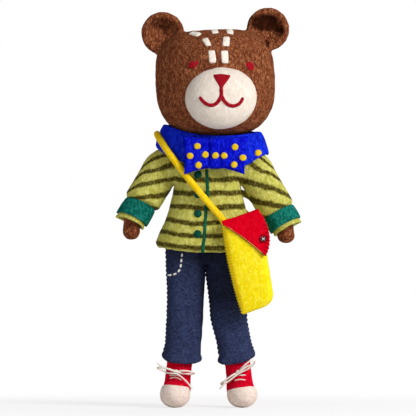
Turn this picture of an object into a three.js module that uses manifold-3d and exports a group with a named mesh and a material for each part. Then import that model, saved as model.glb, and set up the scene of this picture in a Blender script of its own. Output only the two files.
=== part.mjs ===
// A standing felt bear in clothes, with a shoulder bag. Millimetres, +Z up, the face looks along -Y.
// The origin is on the floor under the middle of the figure. The bear's own left is +X.
import * as THREE from 'three';
import { mergeVertices } from 'three/addons/utils/BufferGeometryUtils.js';
import Module from 'manifold-3d';

const wasm = await Module();
wasm.setup();

// Felt and clearances
const FELT = 2.4;
const GAP = 0.35;
const APPLIQUE = 1.2;
const OVERCUT = 2; // how far a cutting form runs past an edge
const FIGURE_SHIFT_X = -1.8;
const FIGURE_SHIFT_Y = 7;

// Head
const HEAD_X = 6.5;
const HEAD_Z = 267;
const HEAD_HALF_WIDTH = 49.4;
const HEAD_HALF_DEPTH = 44;
const HEAD_HALF_HEIGHT = 45;
const CROWN_POWER = 3.4;
const JAW_POWER = 2.5;
const HEAD_ROLL = 2.4;
const HEAD_YAW = 5;
const TURN_ROOM = 2;
const EAR_RADIUS = 17.8;
const EAR_OUT = 43.7;
const EAR_UP = 43.2;
const EAR_BACK = 8.5;
const EAR_RIM = 5;
const EAR_DISH = 7.5;
const MUZZLE_HALF_WIDTH = 29.5;
const MUZZLE_HALF_HEIGHT = 26;
const MUZZLE_DEPTH = 22.5;
const MUZZLE_ROOT = 34;
const MUZZLE_DROP = 11.6;
const MUZZLE_POWER = 2.3;
const NOSE_X = 0.8;
const NOSE_TOP = 7.6;
const NOSE_HEIGHT = 10.6;
const NOSE_HALF_WIDTH = 7;
const MOUTH_X = 0.5;
const MOUTH_LINE = 2.6;
const MOUTH_ARC_HALF_WIDTH = 8.8;
const MOUTH_ARC_DEPTH = 7.8;
const PHILTRUM_LENGTH = 8;
const EYE_RADIUS = 2.9;
const EYE_OUT = 23.6;
const EYE_X = 2;
const EYE_UP = 15.5;
const DASH_WIDTH = 5.8;
const DASH_LENGTH = 10.5;
const DASH_SHORT = 7.6;

// Body and jacket
const NECK_X = 4;
const NECK_RADIUS = 12;
const NECK_TOP = 226;
const JACKET_HEM = 127.4;
const JACKET_TOP = 215.4;
const HEM_HALF_WIDTH = 42.6;
const HEM_HALF_DEPTH = 31;
const WAIST_Z = 161;
const WAIST_HALF_WIDTH = 32.6;
const WAIST_HALF_DEPTH = 25.2;
const CHEST_Z = 184;
const CHEST_HALF_WIDTH = 27.4;
const CHEST_HALF_DEPTH = 22.4;
const HEM_FALL = 8.6;
const HEM_SIDE_RISE = 4.5; // the hem lifts towards the sides
const NECK_DRAW = 2.2;
const JACKET_NECK_HALF_WIDTH = 17;
const JACKET_NECK_HALF_DEPTH = 15.5;
const TORSO_BOTTOM = 133.4;
const PLACKET_X = -2.4;
const PLACKET_LEAN = 1.6;
const PLACKET_WIDTH = 3;
const PLACKET_TOP = 197;
const BUTTON_RADIUS = 3.2;
const BUTTON_X = -8.2;
const BUTTON_TOP = 192.2;
const BUTTON_STEP = 16.3;
const BUTTON_COUNT = 4;

// Sleeves, arms and hands
const SHOULDER_Z = 199.5;
const SLEEVE_RADIUS = 16.6;
const SLEEVE_HALF_DEPTH = 15.5;
const SLEEVE_HALF_WIDTH = 15.2; // past the shoulder
const ARMPIT_RADIUS = 1;
const CUFF_TOP_HALF_WIDTH = 11.2;
const CUFF_HALF_WIDTH = 12.2;
const CUFF_TUCK = 2; // the sleeve is gathered into the cuff over this length
const RIGHT_CUFF_BAND = 14.5;
const LEFT_CUFF_BAND = 12.5;
const CUFF_FELT = 1.5;
const SLEEVE_RIM = 3.2;
const RIM_SWELL = 0.8;
const ARM_ROOT_RADIUS = 9;
const ARM_SEAT_X = 24.4;
const WRIST_RADIUS = 6;
const HAND_HALF_WIDTH = 7;
const HAND_LENGTH = 17;
const HAND_INSET = 1;
const RIGHT_SLEEVE_TILT = 31;
const RIGHT_SLEEVE_LENGTH = 45;
const LEFT_SLEEVE_TILT = 30;
const LEFT_SLEEVE_LENGTH = 50;
const SLEEVE_POWER = 2.2;

// Collar and bow tie
const COLLAR_X = 4;
const COLLAR_FELT = 2.6;
const COLLAR_TOP_HALF_WIDTH = 40;
const COLLAR_TIP_HALF_WIDTH = 47;
const COLLAR_TOP_FRONT = 25;
const COLLAR_TIP_FRONT = 27.5;
const COLLAR_TOP_BACK = 36;
const COLLAR_TIP_BACK = 40;
const COLLAR_TOP_Z = 231;
const COLLAR_TIP_Z = 212;
const COLLAR_FRONT_DIP = 6;
const COLLAR_WING_DROP = 14;
const COLLAR_WING_CURVE = 1.3;
const COLLAR_TILT = 4.3;
const COLLAR_SEAT = 2;
const COLLAR_DOT_IN = 8.8;
const COLLAR_DOT_Z = 210.2;
const DOT_RADIUS = 2.75;
const BOW_X = 6.3;
const BOW_Z = 209.6;
const BOW_HALF_SPAN = 27;
const BOW_TIP_HALF_HEIGHT = 16;
const BOW_TIP_DROP = 1.6;
const BOW_WAIST_HALF_HEIGHT = 12;
const BOW_FELT = 6;
const KNOT_HALF_WIDTH = 5.2;
const KNOT_HALF_HEIGHT = 12.6;
const KNOT_PROUD = 1.4;
const BOW_ROUNDING = 1.4;
const BOW_PINCH = 1;
const WING_DOT_OUT = 15;
const WING_DOT_DROP = 2;
const WING_DOT_HALF_WIDTH = 7.1;
const WING_DOT_HALF_HEIGHT = 7.7;

// Trousers and legs
const HIP_Z = 110;
const HIP_RADIUS = 16;
const SEAT_TOP = 133;
const SEAT_LIP = 113;
const SEAT_HALF_WIDTH = 35;
const SEAT_HALF_DEPTH = 20;
const LEG_POWER = 2.8;
const TROUSER_HEM = 37.5;
const HEM_ROLL = 5;
const HEM_SWELL = 0.9;
const HEM_HALF_LEG_DEPTH = 14.6;
const KNEE_Z = 70;
const KNEE_HALF_DEPTH = 15.3;
const RIGHT_HIP_X = -18.8;
const RIGHT_HIP_HALF_WIDTH = 15.6;
const RIGHT_KNEE_X = -18.9;
const RIGHT_KNEE_HALF_WIDTH = 15.4;
const RIGHT_HEM_X = -21.6;
const RIGHT_HEM_HALF_WIDTH = 15.4;
const LEFT_HIP_X = 17.4;
const LEFT_HIP_HALF_WIDTH = 17.6;
const LEFT_KNEE_X = 19.2;
const LEFT_KNEE_HALF_WIDTH = 14.3;
const LEFT_HEM_X = 24.6;
const LEFT_HEM_HALF_WIDTH = 14.6;

// Shoes and laces
const SHOE_TOP = 46;
const ANKLE_HALF_WIDTH = 10.6;
const ANKLE_HALF_DEPTH = 10.4;
const ANKLE_LEAN = 2.6;
const SHOE_OUT = 3.6;
const SHOE_POWER = 2.3;
const HEEL_BACK = 16;
const HEEL_ROUNDING = 1.2;
const HEEL_NARROW = 4;
const HEEL_Z = 12;
const INSTEP_Z = 24;
const TOE_FRONT = 33;
const TOE_HALF_WIDTH = 12.5;
const TOE_MIDDLE = 17.5;
const TOE_CENTRE_Z = 10.6;
const TOE_HALF_HEIGHT = 12.4;
const TOE_POWER = 2.1;
const CAP_SLOPE = 8;
const CAP_BACK = 3;
const CAP_REAR = 8;
const CAP_REAR_SLOPE = 75;
const RIGHT_CAP_TOP = 19.2;
const RIGHT_CAP_RISE = 4;
const LEFT_CAP_TOP = 17.4;
const LEFT_CAP_RISE = 7;
const TOE_OUT = 5;
const LACE_DIAMETER = 1.5;
const KNOT_RADIUS = 1.7;

// The laces' routes in front of the ankles: the knot, then a loop and a tail for each of the two ends.
const RIGHT_LACE_KNOT = [-26, -13.8, 29.5];
const RIGHT_LACE_ENDS = [
  {
    loop: [
      [-26.1, -13.2, 29.8], [-31, -15, 31.6], [-37.5, -15.4, 32.8], [-40.3, -13.8, 32.9], [-41.2, -11, 32.4],
      [-39.6, -8.6, 31.6], [-36, -9.4, 30], [-33.5, -12.6, 28.6], [-29.5, -14.6, 28.2], [-26.2, -15.2, 29.2],
    ],
    tail: [[-22.5, -14.8, 26.4], [-18.6, -14.8, 22.6], [-15.2, -15.2, 18.8], [-12.9, -16.2, 15.8]],
  },
  {
    loop: [
      [-25.6, -13.4, 29.5], [-21, -15.2, 30.6], [-16, -15.4, 30.2], [-12, -13.6, 28.8], [-10.9, -10.8, 28],
      [-12.4, -8.4, 27.6], [-15.6, -10.8, 27.6], [-19.5, -14, 28.2], [-24.5, -15.6, 29.4],
    ],
    tail: [[-29.5, -16.4, 30.6], [-34.5, -16, 32.6], [-38.6, -15.4, 34.6], [-40.8, -15, 36.2]],
  },
];
const LEFT_LACE_KNOT = [25.6, -13.9, 29.2];
const LEFT_LACE_ENDS = [
  {
    loop: [
      [25.7, -13.4, 29.4], [28.8, -16.6, 33.2], [32.6, -18.6, 36.8], [36.2, -18.8, 39], [38.4, -17, 38.6],
      [38, -14.8, 36.2], [34.4, -14.2, 33], [30.4, -14.6, 30.4], [26.4, -15.6, 29],
    ],
    tail: [[22.4, -16.2, 25.6], [17.8, -16.4, 22], [13.6, -16, 19.2], [10.4, -15.8, 15.8]],
  },
  {
    loop: [
      [25.4, -13.4, 29.2], [21.6, -15, 27.2], [17, -15.2, 24], [13.2, -13.6, 21.4], [11.6, -10.8, 20],
      [12.6, -8.4, 19.6], [15, -10.6, 20.8], [19, -14.6, 23.4], [23.6, -15.8, 27.2], [25.6, -16.2, 29],
    ],
    tail: [[29.4, -17.4, 32], [33.4, -17.6, 34.4], [36.6, -18, 35]],
  },
];

// Bag, flap and strap
const BAG_X = 12.7;
const BAG_Z = 150.5;
const BAG_BACK_Y = -31.8;
const BAG_FELT = 2.2;
const BAG_ROOM = 6.2;
const BAG_TOP_WIDTH = 32;
const BAG_TOP_SLOPE = 21;
const BAG_SIDE = 75;
const BAG_LEAN = 12.7;
const BAG_BOTTOM_WIDTH = 27;
const BAG_BOTTOM_SLOPE = 20;
const BAG_CORNER = 9;
const BAG_BULGE = 4;
const FLAP_FELT = 2;
const FLAP_DROP = 37.1;
const FLAP_OVERHANG = 5;
const FLAP_CORNER_OUT = 8.4;
const FLAP_CORNER_DROP = 20.3;
const FLAP_ROUNDING = 2;
const FLAP_SAG = 4;
const CATCH_RADIUS = 2.3;
const CATCH_HEIGHT = 1.8;
const CATCH_OUT = 3.1;
const CATCH_DROP = 22.6;
const STRAP_DIAMETER = 5.6;

// The strap's route: from the bag's inner corner up the chest, over the right shoulder,
// across the back and under the left arm to the bag's outer corner.
const STRAP_ROUTE = [
  [15.5, -28.4, 150.5], [10, -28.4, 158], [3.5, -28.5, 165.5], [-3, -28.6, 173.3], [-9.5, -27, 181.2],
  [-15.5, -25, 188.6], [-20.5, -24.6, 194.8], [-25.5, -24.8, 201.5], [-30.5, -22.6, 208.2],
  [-35.3, -17.8, 215], [-39.3, -10.8, 221.4], [-41.5, -2.5, 225.2], [-41.2, 6, 225.2],
  [-39.4, 14.6, 221.6], [-36.2, 23, 217.3], [-31, 30.4, 213.4], [-22, 30, 207], [-13, 28.4, 199.5],
  [-4, 27.2, 191.5], [5, 26.6, 183.5], [14, 25, 175.5], [23.5, 21.8, 167.5], [30.9, 16.8, 160.5],
  [37.1, 9.2, 155.5], [39.3, 1, 152.8], [39.4, -7, 152.4], [40.2, -16, 153.6], [40.4, -22.5, 155.4],
  [40.4, -28.4, 158.4],
];

// Colours of the felts
const COLOURS = {
  bear_wool: 0x5a3423,
  cream_wool: 0xe4d6c8,
  red_wool: 0x9a1a22,
  dash_wool: 0xe9dfd0,
  jacket_felt: 0xb4b349,
  teal_felt: 0x17695c,
  blue_felt: 0x1522c0,
  dot_felt: 0xf0cc2c,
  denim_felt: 0x272c48,
  shoe_felt: 0xc2112b,
  toe_felt: 0xdccbbd,
  lace_cord: 0xf1ebdf,
  bag_felt: 0xf2dc20,
  flap_felt: 0xd0062b,
  strap_cord: 0xe3b515,
  catch_button: 0x2a2226,
};

// Helpers for solids

const radians = THREE.MathUtils.degToRad;
const WELD = 1e-4;
const REACH = 400;
const QUARTER_TURN = 90;

function solidOf(geometry) {
  const bare = geometry.clone();
  bare.deleteAttribute('normal');
  bare.deleteAttribute('uv');
  const merged = mergeVertices(bare, WELD);
  const source = merged.index.array;
  const triangles = [];
  for (let i = 0; i < source.length; i += 3) {
    const [a, b, c] = [source[i], source[i + 1], source[i + 2]];
    if (a !== b && b !== c && c !== a) triangles.push(a, b, c);
  }
  return new wasm.Manifold(new wasm.Mesh({
    numProp: 3,
    vertProperties: new Float32Array(merged.attributes.position.array),
    triVerts: new Uint32Array(triangles),
  }));
}

function geometryOf(solid) {
  const mesh = solid.getMesh();
  const geometry = new THREE.BufferGeometry();
  geometry.setAttribute('position', new THREE.BufferAttribute(new Float32Array(mesh.vertProperties), 3));
  geometry.setIndex(new THREE.BufferAttribute(new Uint32Array(mesh.triVerts), 1));
  geometry.computeVertexNormals();
  return geometry;
}

// A point on a unit superellipse: power 2 is a circle, higher powers are squarer.
function superPoint(angle, power) {
  const bend = (value) => Math.sign(value) * Math.abs(value) ** (2 / power);
  return [bend(Math.cos(angle)), bend(Math.sin(angle))];
}

// A closed outline of points round a centre, in the plane of two directions.
function ring(centre, across, halfAcross, along, halfAlong, power, count) {
  const points = [];
  for (let k = 0; k < count; k += 1) {
    const [u, v] = superPoint((2 * Math.PI * k) / count, power);
    points.push(centre.clone().addScaledVector(across, halfAcross * u).addScaledVector(along, halfAlong * v));
  }
  return points;
}

const AXIS_X = new THREE.Vector3(1, 0, 0);
const AXIS_Y = new THREE.Vector3(0, 1, 0);
const AXIS_Z = new THREE.Vector3(0, 0, 1);

// Rings with equal numbers of points, skinned in order and closed by a fan at each end.
function loft(rings) {
  const count = rings[0].length;
  const points = rings.flat();
  const triangles = [];
  for (let row = 0; row + 1 < rings.length; row += 1) {
    for (let k = 0; k < count; k += 1) {
      const next = (k + 1) % count;
      const [a, b] = [row * count + k, row * count + next];
      triangles.push(a, b, b + count, a, b + count, a + count);
    }
  }
  const fan = (start, reversed) => {
    const middle = new THREE.Vector3();
    for (let k = 0; k < count; k += 1) middle.addScaledVector(points[start + k], 1 / count);
    points.push(middle);
    for (let k = 0; k < count; k += 1) {
      const [a, b] = [start + k, start + (k + 1) % count];
      triangles.push(points.length - 1, ...(reversed ? [b, a] : [a, b]));
    }
  };
  const last = (rings.length - 1) * count;
  fan(0, true);
  fan(last, false);
  let volume = 0;
  for (let i = 0; i < triangles.length; i += 3) {
    const [a, b, c] = [points[triangles[i]], points[triangles[i + 1]], points[triangles[i + 2]]];
    volume += a.dot(b.clone().cross(c));
  }
  if (volume < 0) triangles.reverse();
  const geometry = new THREE.BufferGeometry().setFromPoints(points);
  geometry.setIndex(triangles);
  return solidOf(geometry);
}

// A rounded body whose upper and lower halves have their own squareness.
function ovoid(halfWidth, halfDepth, halfHeight, topPower, bottomPower, columns, rows) {
  const geometry = new THREE.SphereGeometry(1, columns, rows).rotateX(Math.PI / 2);
  const place = geometry.attributes.position;
  for (let i = 0; i < place.count; i += 1) {
    const [x, y, z] = [place.getX(i), place.getY(i), place.getZ(i)];
    const flat = Math.hypot(x, y);
    const [r, h] = superPoint(Math.atan2(z, flat), z > 0 ? topPower : bottomPower);
    const scale = flat > WELD ? r / flat : 0;
    place.setXYZ(i, halfWidth * x * scale, halfDepth * y * scale, halfHeight * h);
  }
  return solidOf(geometry);
}

function box(width, depth, height, x, y, z) {
  return solidOf(new THREE.BoxGeometry(width, depth, height).translate(x, y, z));
}

// A round bar along X or Z.
function barX(radius, from, to, y, z, sides = 24) {
  const bar = new THREE.CylinderGeometry(radius, radius, to - from, sides).rotateZ(Math.PI / 2);
  return solidOf(bar.translate((from + to) / 2, y, z));
}

function barZ(radius, from, to, x, y, sides = 24) {
  const bar = new THREE.CylinderGeometry(radius, radius, to - from, sides).rotateX(Math.PI / 2);
  return solidOf(bar.translate(x, y, (from + to) / 2));
}

// An outline drawn as seen from the front, given depth from the plane y = 0 towards the viewer.
function frontPrism(shape, depth, rounding = 0) {
  const geometry = new THREE.ExtrudeGeometry(shape, {
    depth: depth - 2 * rounding,
    bevelEnabled: rounding > 0,
    bevelThickness: rounding,
    bevelSize: rounding,
    bevelOffset: -rounding,
    bevelSegments: 1,
    curveSegments: 5,
  });
  return solidOf(geometry.translate(0, 0, rounding).rotateX(Math.PI / 2));
}

function discShape(x, z, radius) {
  return new THREE.Shape().absarc(x, z, radius, 0, 2 * Math.PI);
}

// A rounded bar outline about a middle point, turned from upright.
function dashShape(x, z, width, length, turn) {
  const half = width / 2;
  const reach = length / 2 - half;
  const shape = new THREE.Shape();
  const side = new THREE.Vector2(Math.sin(turn), Math.cos(turn)).multiplyScalar(reach);
  shape.absarc(x + side.x, z + side.y, half, -turn, Math.PI - turn);
  shape.absarc(x - side.x, z - side.y, half, Math.PI - turn, 2 * Math.PI - turn);
  return shape;
}

// A tube of round section along a smooth curve.
function tube(curve, radius, steps, sides) {
  const section = new THREE.Shape();
  for (let k = 0; k < sides; k += 1) {
    const angle = (2 * Math.PI * k) / sides;
    const [u, v] = [radius * Math.cos(angle), radius * Math.sin(angle)];
    if (k === 0) section.moveTo(u, v);
    else section.lineTo(u, v);
  }
  return solidOf(new THREE.ExtrudeGeometry(section, { steps, extrudePath: curve }));
}

function smoothCurve(points) {
  return new THREE.CatmullRomCurve3(points.map((p) => new THREE.Vector3(...p)));
}

function turned(solid, rotate, move = [0, 0, 0]) {
  const geometry = geometryOf(solid);
  geometry.applyMatrix4(new THREE.Matrix4().makeRotationFromEuler(new THREE.Euler(...rotate.map(radians))));
  return solidOf(geometry.translate(...move));
}

// A solid moved along Y only.
function movedBack(solid, back) {
  return turned(solid, [0, 0, 0], [0, back, 0]);
}

function placed(solid, matrix) {
  return solidOf(geometryOf(solid).applyMatrix4(matrix));
}

const root = new THREE.Group();
root.position.set(FIGURE_SHIFT_X, FIGURE_SHIFT_Y, 0);

function addPiece(group, name, solid, colour) {
  const material = new THREE.MeshStandardMaterial({ color: COLOURS[colour], roughness: 0.95, metalness: 0 });
  const mesh = new THREE.Mesh(geometryOf(solid), material);
  mesh.name = name;
  group.add(mesh);
}

// Head: drawn about its own middle, then rolled and turned on the neck

const headGroup = new THREE.Group();
headGroup.position.set(HEAD_X, 0, HEAD_Z);
headGroup.rotation.set(0, radians(-HEAD_ROLL), radians(HEAD_YAW), 'ZYX');
headGroup.updateMatrix();
root.add(headGroup);

const HEAD_COLUMNS = 24;
const HEAD_ROWS = 14;

// The head's form, grown more in depth than elsewhere if wanted.
function headForm(grow, deeper = 0) {
  return ovoid(
    HEAD_HALF_WIDTH + grow, HEAD_HALF_DEPTH + grow + deeper, HEAD_HALF_HEIGHT + grow,
    CROWN_POWER, JAW_POWER, HEAD_COLUMNS, HEAD_ROWS,
  );
}

function muzzleForm(grow) {
  const form = ovoid(
    MUZZLE_HALF_WIDTH + grow, MUZZLE_HALF_HEIGHT + grow, MUZZLE_DEPTH + grow, MUZZLE_POWER, 2, 24, 12,
  );
  return turned(form, [90, 0, 0], [0, -MUZZLE_ROOT, -MUZZLE_DROP]);
}

// The dish of an ear: round back, rolled rim, hollow front.
function earForm() {
  const rim = EAR_RADIUS - EAR_RIM / 2;
  const lip = -0.8 * EAR_RIM;
  const profile = [
    [0, EAR_BACK], [0.45 * EAR_RADIUS, 0.9 * EAR_BACK], [0.8 * EAR_RADIUS, 0.55 * EAR_BACK],
    [0.97 * EAR_RADIUS, 0.1 * EAR_BACK], [EAR_RADIUS, -0.3 * EAR_RIM],
    [EAR_RADIUS - 0.12 * EAR_RIM, -0.75 * EAR_RIM], [rim, -EAR_RIM], [EAR_RADIUS - EAR_RIM, lip],
    [0.55 * EAR_RADIUS, lip + 0.6 * EAR_DISH], [0.3 * EAR_RADIUS, lip + 0.9 * EAR_DISH], [0, lip + EAR_DISH],
  ];
  return solidOf(new THREE.LatheGeometry(profile.reverse().map(([r, y]) => new THREE.Vector2(r, y)), 18));
}

// A flat felt shape laid on the front of a form, ahead of a plane.
function onSurface(shape, form, plane = 0) {
  const prism = movedBack(frontPrism(shape, REACH), plane);
  return prism.intersect(form(GAP + APPLIQUE)).subtract(form(GAP));
}

// The same, laid on the top of a form; the shape is drawn as seen from above.
function onCrown(shape, form) {
  const prism = turned(frontPrism(shape, REACH), [-90, 0, 0]);
  return prism.intersect(form(GAP + APPLIQUE)).subtract(form(GAP));
}

function noseShape() {
  const shape = new THREE.Shape();
  const [left, right] = [NOSE_X - NOSE_HALF_WIDTH, NOSE_X + NOSE_HALF_WIDTH];
  const bottom = NOSE_TOP - NOSE_HEIGHT;
  const soft = NOSE_HALF_WIDTH / 4;
  shape.moveTo(left + soft, NOSE_TOP);
  shape.lineTo(right - soft, NOSE_TOP);
  shape.quadraticCurveTo(right, NOSE_TOP, right - soft / 2, NOSE_TOP - soft);
  shape.lineTo(NOSE_X + soft, bottom + soft);
  shape.quadraticCurveTo(NOSE_X, bottom - soft / 2, NOSE_X - soft, bottom + soft);
  shape.lineTo(left + soft / 2, NOSE_TOP - soft);
  shape.quadraticCurveTo(left, NOSE_TOP, left + soft, NOSE_TOP);
  return shape;
}

// Half of the smile: a bowl-shaped line with a round end.
function smileShape(side) {
  const half = MOUTH_LINE / 2;
  const middleX = MOUTH_X + side * MOUTH_ARC_HALF_WIDTH;
  const middleZ = NOSE_TOP - NOSE_HEIGHT - PHILTRUM_LENGTH;
  const shape = new THREE.Shape();
  const [wide, deep] = [MOUTH_ARC_HALF_WIDTH, MOUTH_ARC_DEPTH];
  shape.absellipse(middleX, middleZ, wide + half, deep + half, Math.PI, 2 * Math.PI, false);
  shape.absarc(middleX + wide, middleZ, half, 0, Math.PI, false);
  shape.absellipse(middleX, middleZ, wide - half, deep - half, 2 * Math.PI, Math.PI, true);
  shape.absarc(middleX - wide, middleZ, half, 0, Math.PI, false);
  return shape;
}

const headMatrix = headGroup.matrix.clone();
const headInverse = headMatrix.clone().invert();
const neckSocket = placed(barZ(NECK_RADIUS + GAP, 0, NECK_TOP + GAP, NECK_X, 0), headInverse);
addPiece(headGroup, 'head', headForm(0).subtract(neckSocket), 'bear_wool');
addPiece(headGroup, 'muzzle', muzzleForm(0).subtract(headForm(GAP)), 'cream_wool');
for (const [name, side] of [['right', -1], ['left', 1]]) {
  const ear = turned(earForm(), [0, 0, 0], [side * EAR_OUT, 0, EAR_UP]).subtract(headForm(GAP));
  addPiece(headGroup, `${name}_ear`, ear, 'bear_wool');
  const eye = onSurface(discShape(EYE_X + side * EYE_OUT, EYE_UP, EYE_RADIUS), headForm);
  addPiece(headGroup, `${name}_eye`, eye, 'red_wool');
}
addPiece(headGroup, 'nose', onSurface(noseShape(), muzzleForm, -MUZZLE_ROOT), 'red_wool');
const philtrum = dashShape(
  MOUTH_X, NOSE_TOP - NOSE_HEIGHT - GAP - PHILTRUM_LENGTH / 2, MOUTH_LINE, PHILTRUM_LENGTH - 2 * GAP, 0,
);
const mouthLines = [smileShape(-1), smileShape(1), philtrum].map((shape) => frontPrism(shape, REACH));
const mouthTop = box(REACH, REACH, REACH, 0, 0, NOSE_TOP - NOSE_HEIGHT - 1.6 * GAP + REACH / 2);
const mouthBack = box(REACH, REACH, REACH, 0, REACH / 2 - MUZZLE_ROOT, 0);
const mouthPrism = mouthLines[0].add(mouthLines[1]).add(mouthLines[2]).subtract(mouthTop).subtract(mouthBack);
const mouth = mouthPrism.intersect(muzzleForm(GAP + APPLIQUE)).subtract(muzzleForm(GAP));
addPiece(headGroup, 'mouth', mouth, 'red_wool');

// Dashes on the forehead, seen from the front, and on the crown, seen from above: the place,
// the length and the turn of each.
const FOREHEAD_DASHES = [
  [-5, 22.6, DASH_LENGTH, 0], [5.2, 22.4, DASH_LENGTH, 0],
  [-8.3, 34.4, DASH_SHORT, -14], [8.2, 34.4, DASH_SHORT, 10],
];
const CROWN_DASHES = [
  [-15.8, -25.6, DASH_LENGTH, -30], [0.6, -25.6, DASH_LENGTH, 0], [13.4, -25.6, DASH_LENGTH, 12],
];
const dashes = [
  ...FOREHEAD_DASHES.map(([x, z, length, turn]) => (
    onSurface(dashShape(x, z, DASH_WIDTH, length, radians(turn)), headForm)
  )),
  ...CROWN_DASHES.map(([x, y, length, turn]) => (
    onCrown(dashShape(x, y, DASH_WIDTH, length, radians(turn)), headForm)
  )),
];
dashes.forEach((dash, k) => addPiece(headGroup, `forehead_dash_${k + 1}`, dash, 'dash_wool'));

// Body: one waisted form gives the jacket, its lining and the stuffed torso

const BODY_POWER = 2.3;
const BODY_STEPS = 24;
const SHOULDER_SPREAD = CHEST_HALF_WIDTH;

const middle = (a, b) => (a + b) / 2;

// Height, half-width and half-depth from the hem to the neck.
const BODY_SECTIONS = [
  [JACKET_HEM, HEM_HALF_WIDTH - RIM_SWELL, HEM_HALF_DEPTH - RIM_SWELL],
  [JACKET_HEM + HEM_FALL / 2, HEM_HALF_WIDTH, HEM_HALF_DEPTH],
  [JACKET_HEM + HEM_FALL, HEM_HALF_WIDTH - RIM_SWELL / 2, HEM_HALF_DEPTH - RIM_SWELL / 2],
  [
    middle(JACKET_HEM + HEM_FALL, WAIST_Z), middle(HEM_HALF_WIDTH, WAIST_HALF_WIDTH),
    middle(HEM_HALF_DEPTH, WAIST_HALF_DEPTH),
  ],
  [WAIST_Z, WAIST_HALF_WIDTH, WAIST_HALF_DEPTH],
  [CHEST_Z, CHEST_HALF_WIDTH, CHEST_HALF_DEPTH],
  [SHOULDER_Z, CHEST_HALF_WIDTH, CHEST_HALF_DEPTH - NECK_DRAW],
  [
    middle(SHOULDER_Z, JACKET_TOP), CHEST_HALF_WIDTH - NECK_DRAW, CHEST_HALF_DEPTH - 1.5 * NECK_DRAW,
  ],
  [JACKET_TOP, JACKET_NECK_HALF_WIDTH, JACKET_NECK_HALF_DEPTH],
];

const HEM_RISE_SHARES = [1, 0.8, 0.5]; // of the rise at the sides, for the lowest sections

function bodyForm(grow, below = 0) {
  const rings = BODY_SECTIONS.map(([z, width, depth], row) => {
    const centre = new THREE.Vector3(0, 0, z === JACKET_TOP ? z + grow : z);
    const points = ring(centre, AXIS_X, width + grow, AXIS_Y, depth + grow, BODY_POWER, BODY_STEPS);
    const rise = HEM_SIDE_RISE * (HEM_RISE_SHARES[row] ?? 0);
    return points.map((p) => p.setZ(p.z + rise * (p.x / (width + grow)) ** 2));
  });
  if (below > 0) rings.unshift(rings[0].map((p) => p.clone().setZ(JACKET_HEM - below)));
  const spread = SHOULDER_SPREAD + Math.min(grow, 0);
  const shoulders = barX(SLEEVE_RADIUS - GAP + grow, -spread, spread, 0, SHOULDER_Z, 16);
  return loft(rings).add(shoulders);
}

const belowTorso = box(REACH, REACH, REACH, 0, 0, TORSO_BOTTOM - REACH / 2);
const neck = barZ(NECK_RADIUS, SHOULDER_Z, NECK_TOP, NECK_X, 0);
const torso = bodyForm(-FELT - GAP).subtract(belowTorso).add(neck);
const armTrim = [-1, 1].map((side) => {
  const outside = [ARM_SEAT_X, REACH].map((x) => side * x).sort((a, b) => a - b);
  return barX(ARM_ROOT_RADIUS + GAP, ...outside, 0, SHOULDER_Z);
});
addPiece(root, 'torso', torso.subtract(armTrim[0]).subtract(armTrim[1]), 'bear_wool');

const neckHole = barZ(NECK_RADIUS + GAP, SHOULDER_Z, REACH, NECK_X, 0);
const jacket = bodyForm(0).subtract(bodyForm(-FELT, OVERCUT)).subtract(neckHole);
addPiece(root, 'jacket', jacket.subtract(armTrim[0]).subtract(armTrim[1]), 'jacket_felt');

function placketShape() {
  const shape = new THREE.Shape();
  const half = PLACKET_WIDTH / 2;
  shape.moveTo(PLACKET_X + PLACKET_LEAN / 2 - half, PLACKET_TOP);
  shape.lineTo(PLACKET_X + PLACKET_LEAN / 2 + half, PLACKET_TOP);
  shape.lineTo(PLACKET_X - PLACKET_LEAN / 2 + half, JACKET_HEM + GAP);
  shape.lineTo(PLACKET_X - PLACKET_LEAN / 2 - half, JACKET_HEM + GAP);
  return shape;
}
addPiece(root, 'placket', onSurface(placketShape(), bodyForm, -CHEST_HALF_DEPTH / 2), 'teal_felt');
for (let k = 0; k < BUTTON_COUNT; k += 1) {
  const button = onSurface(discShape(BUTTON_X, BUTTON_TOP - k * BUTTON_STEP, BUTTON_RADIUS), bodyForm);
  addPiece(root, `jacket_button_${k + 1}`, button, 'teal_felt');
}

// Sleeves: rings swing about the armpit, then run straight down to the cuff

const SLEEVE_STEPS = 16;
const BEND_RINGS = 3;

function sleeveLine(side) {
  const tilt = side < 0 ? RIGHT_SLEEVE_TILT : LEFT_SLEEVE_TILT;
  const length = side < 0 ? RIGHT_SLEEVE_LENGTH : LEFT_SLEEVE_LENGTH;
  const band = side < 0 ? RIGHT_CUFF_BAND : LEFT_CUFF_BAND;
  const armpit = new THREE.Vector3(
    side * (SHOULDER_SPREAD + GAP), 0, SHOULDER_Z - SLEEVE_RADIUS - ARMPIT_RADIUS,
  );
  const bend = radians(QUARTER_TURN - tilt);
  const spoke = (angle) => new THREE.Vector3(side * Math.sin(angle), 0, Math.cos(angle));
  const along = new THREE.Vector3(side * Math.cos(bend), 0, -Math.sin(bend));
  const cuffTop = length - SLEEVE_RIM - GAP - band;
  return { armpit, bend, spoke, along, length, cuffTop };
}

// A ring of a half-width at a distance along the sleeve's straight run.
function sleeveRing(line, distance, half) {
  const spoke = line.spoke(line.bend);
  const centre = line.armpit.clone().addScaledVector(spoke, ARMPIT_RADIUS + SLEEVE_HALF_WIDTH);
  centre.addScaledVector(line.along, distance);
  return ring(centre, spoke, half, AXIS_Y, half, SLEEVE_POWER, SLEEVE_STEPS);
}

// The sleeve's half-width under the cuff, which flares a little.
function cuffHalf(line, distance) {
  const share = (distance - line.cuffTop) / (line.length - line.cuffTop);
  return THREE.MathUtils.lerp(CUFF_TOP_HALF_WIDTH, CUFF_HALF_WIDTH, share);
}

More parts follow.
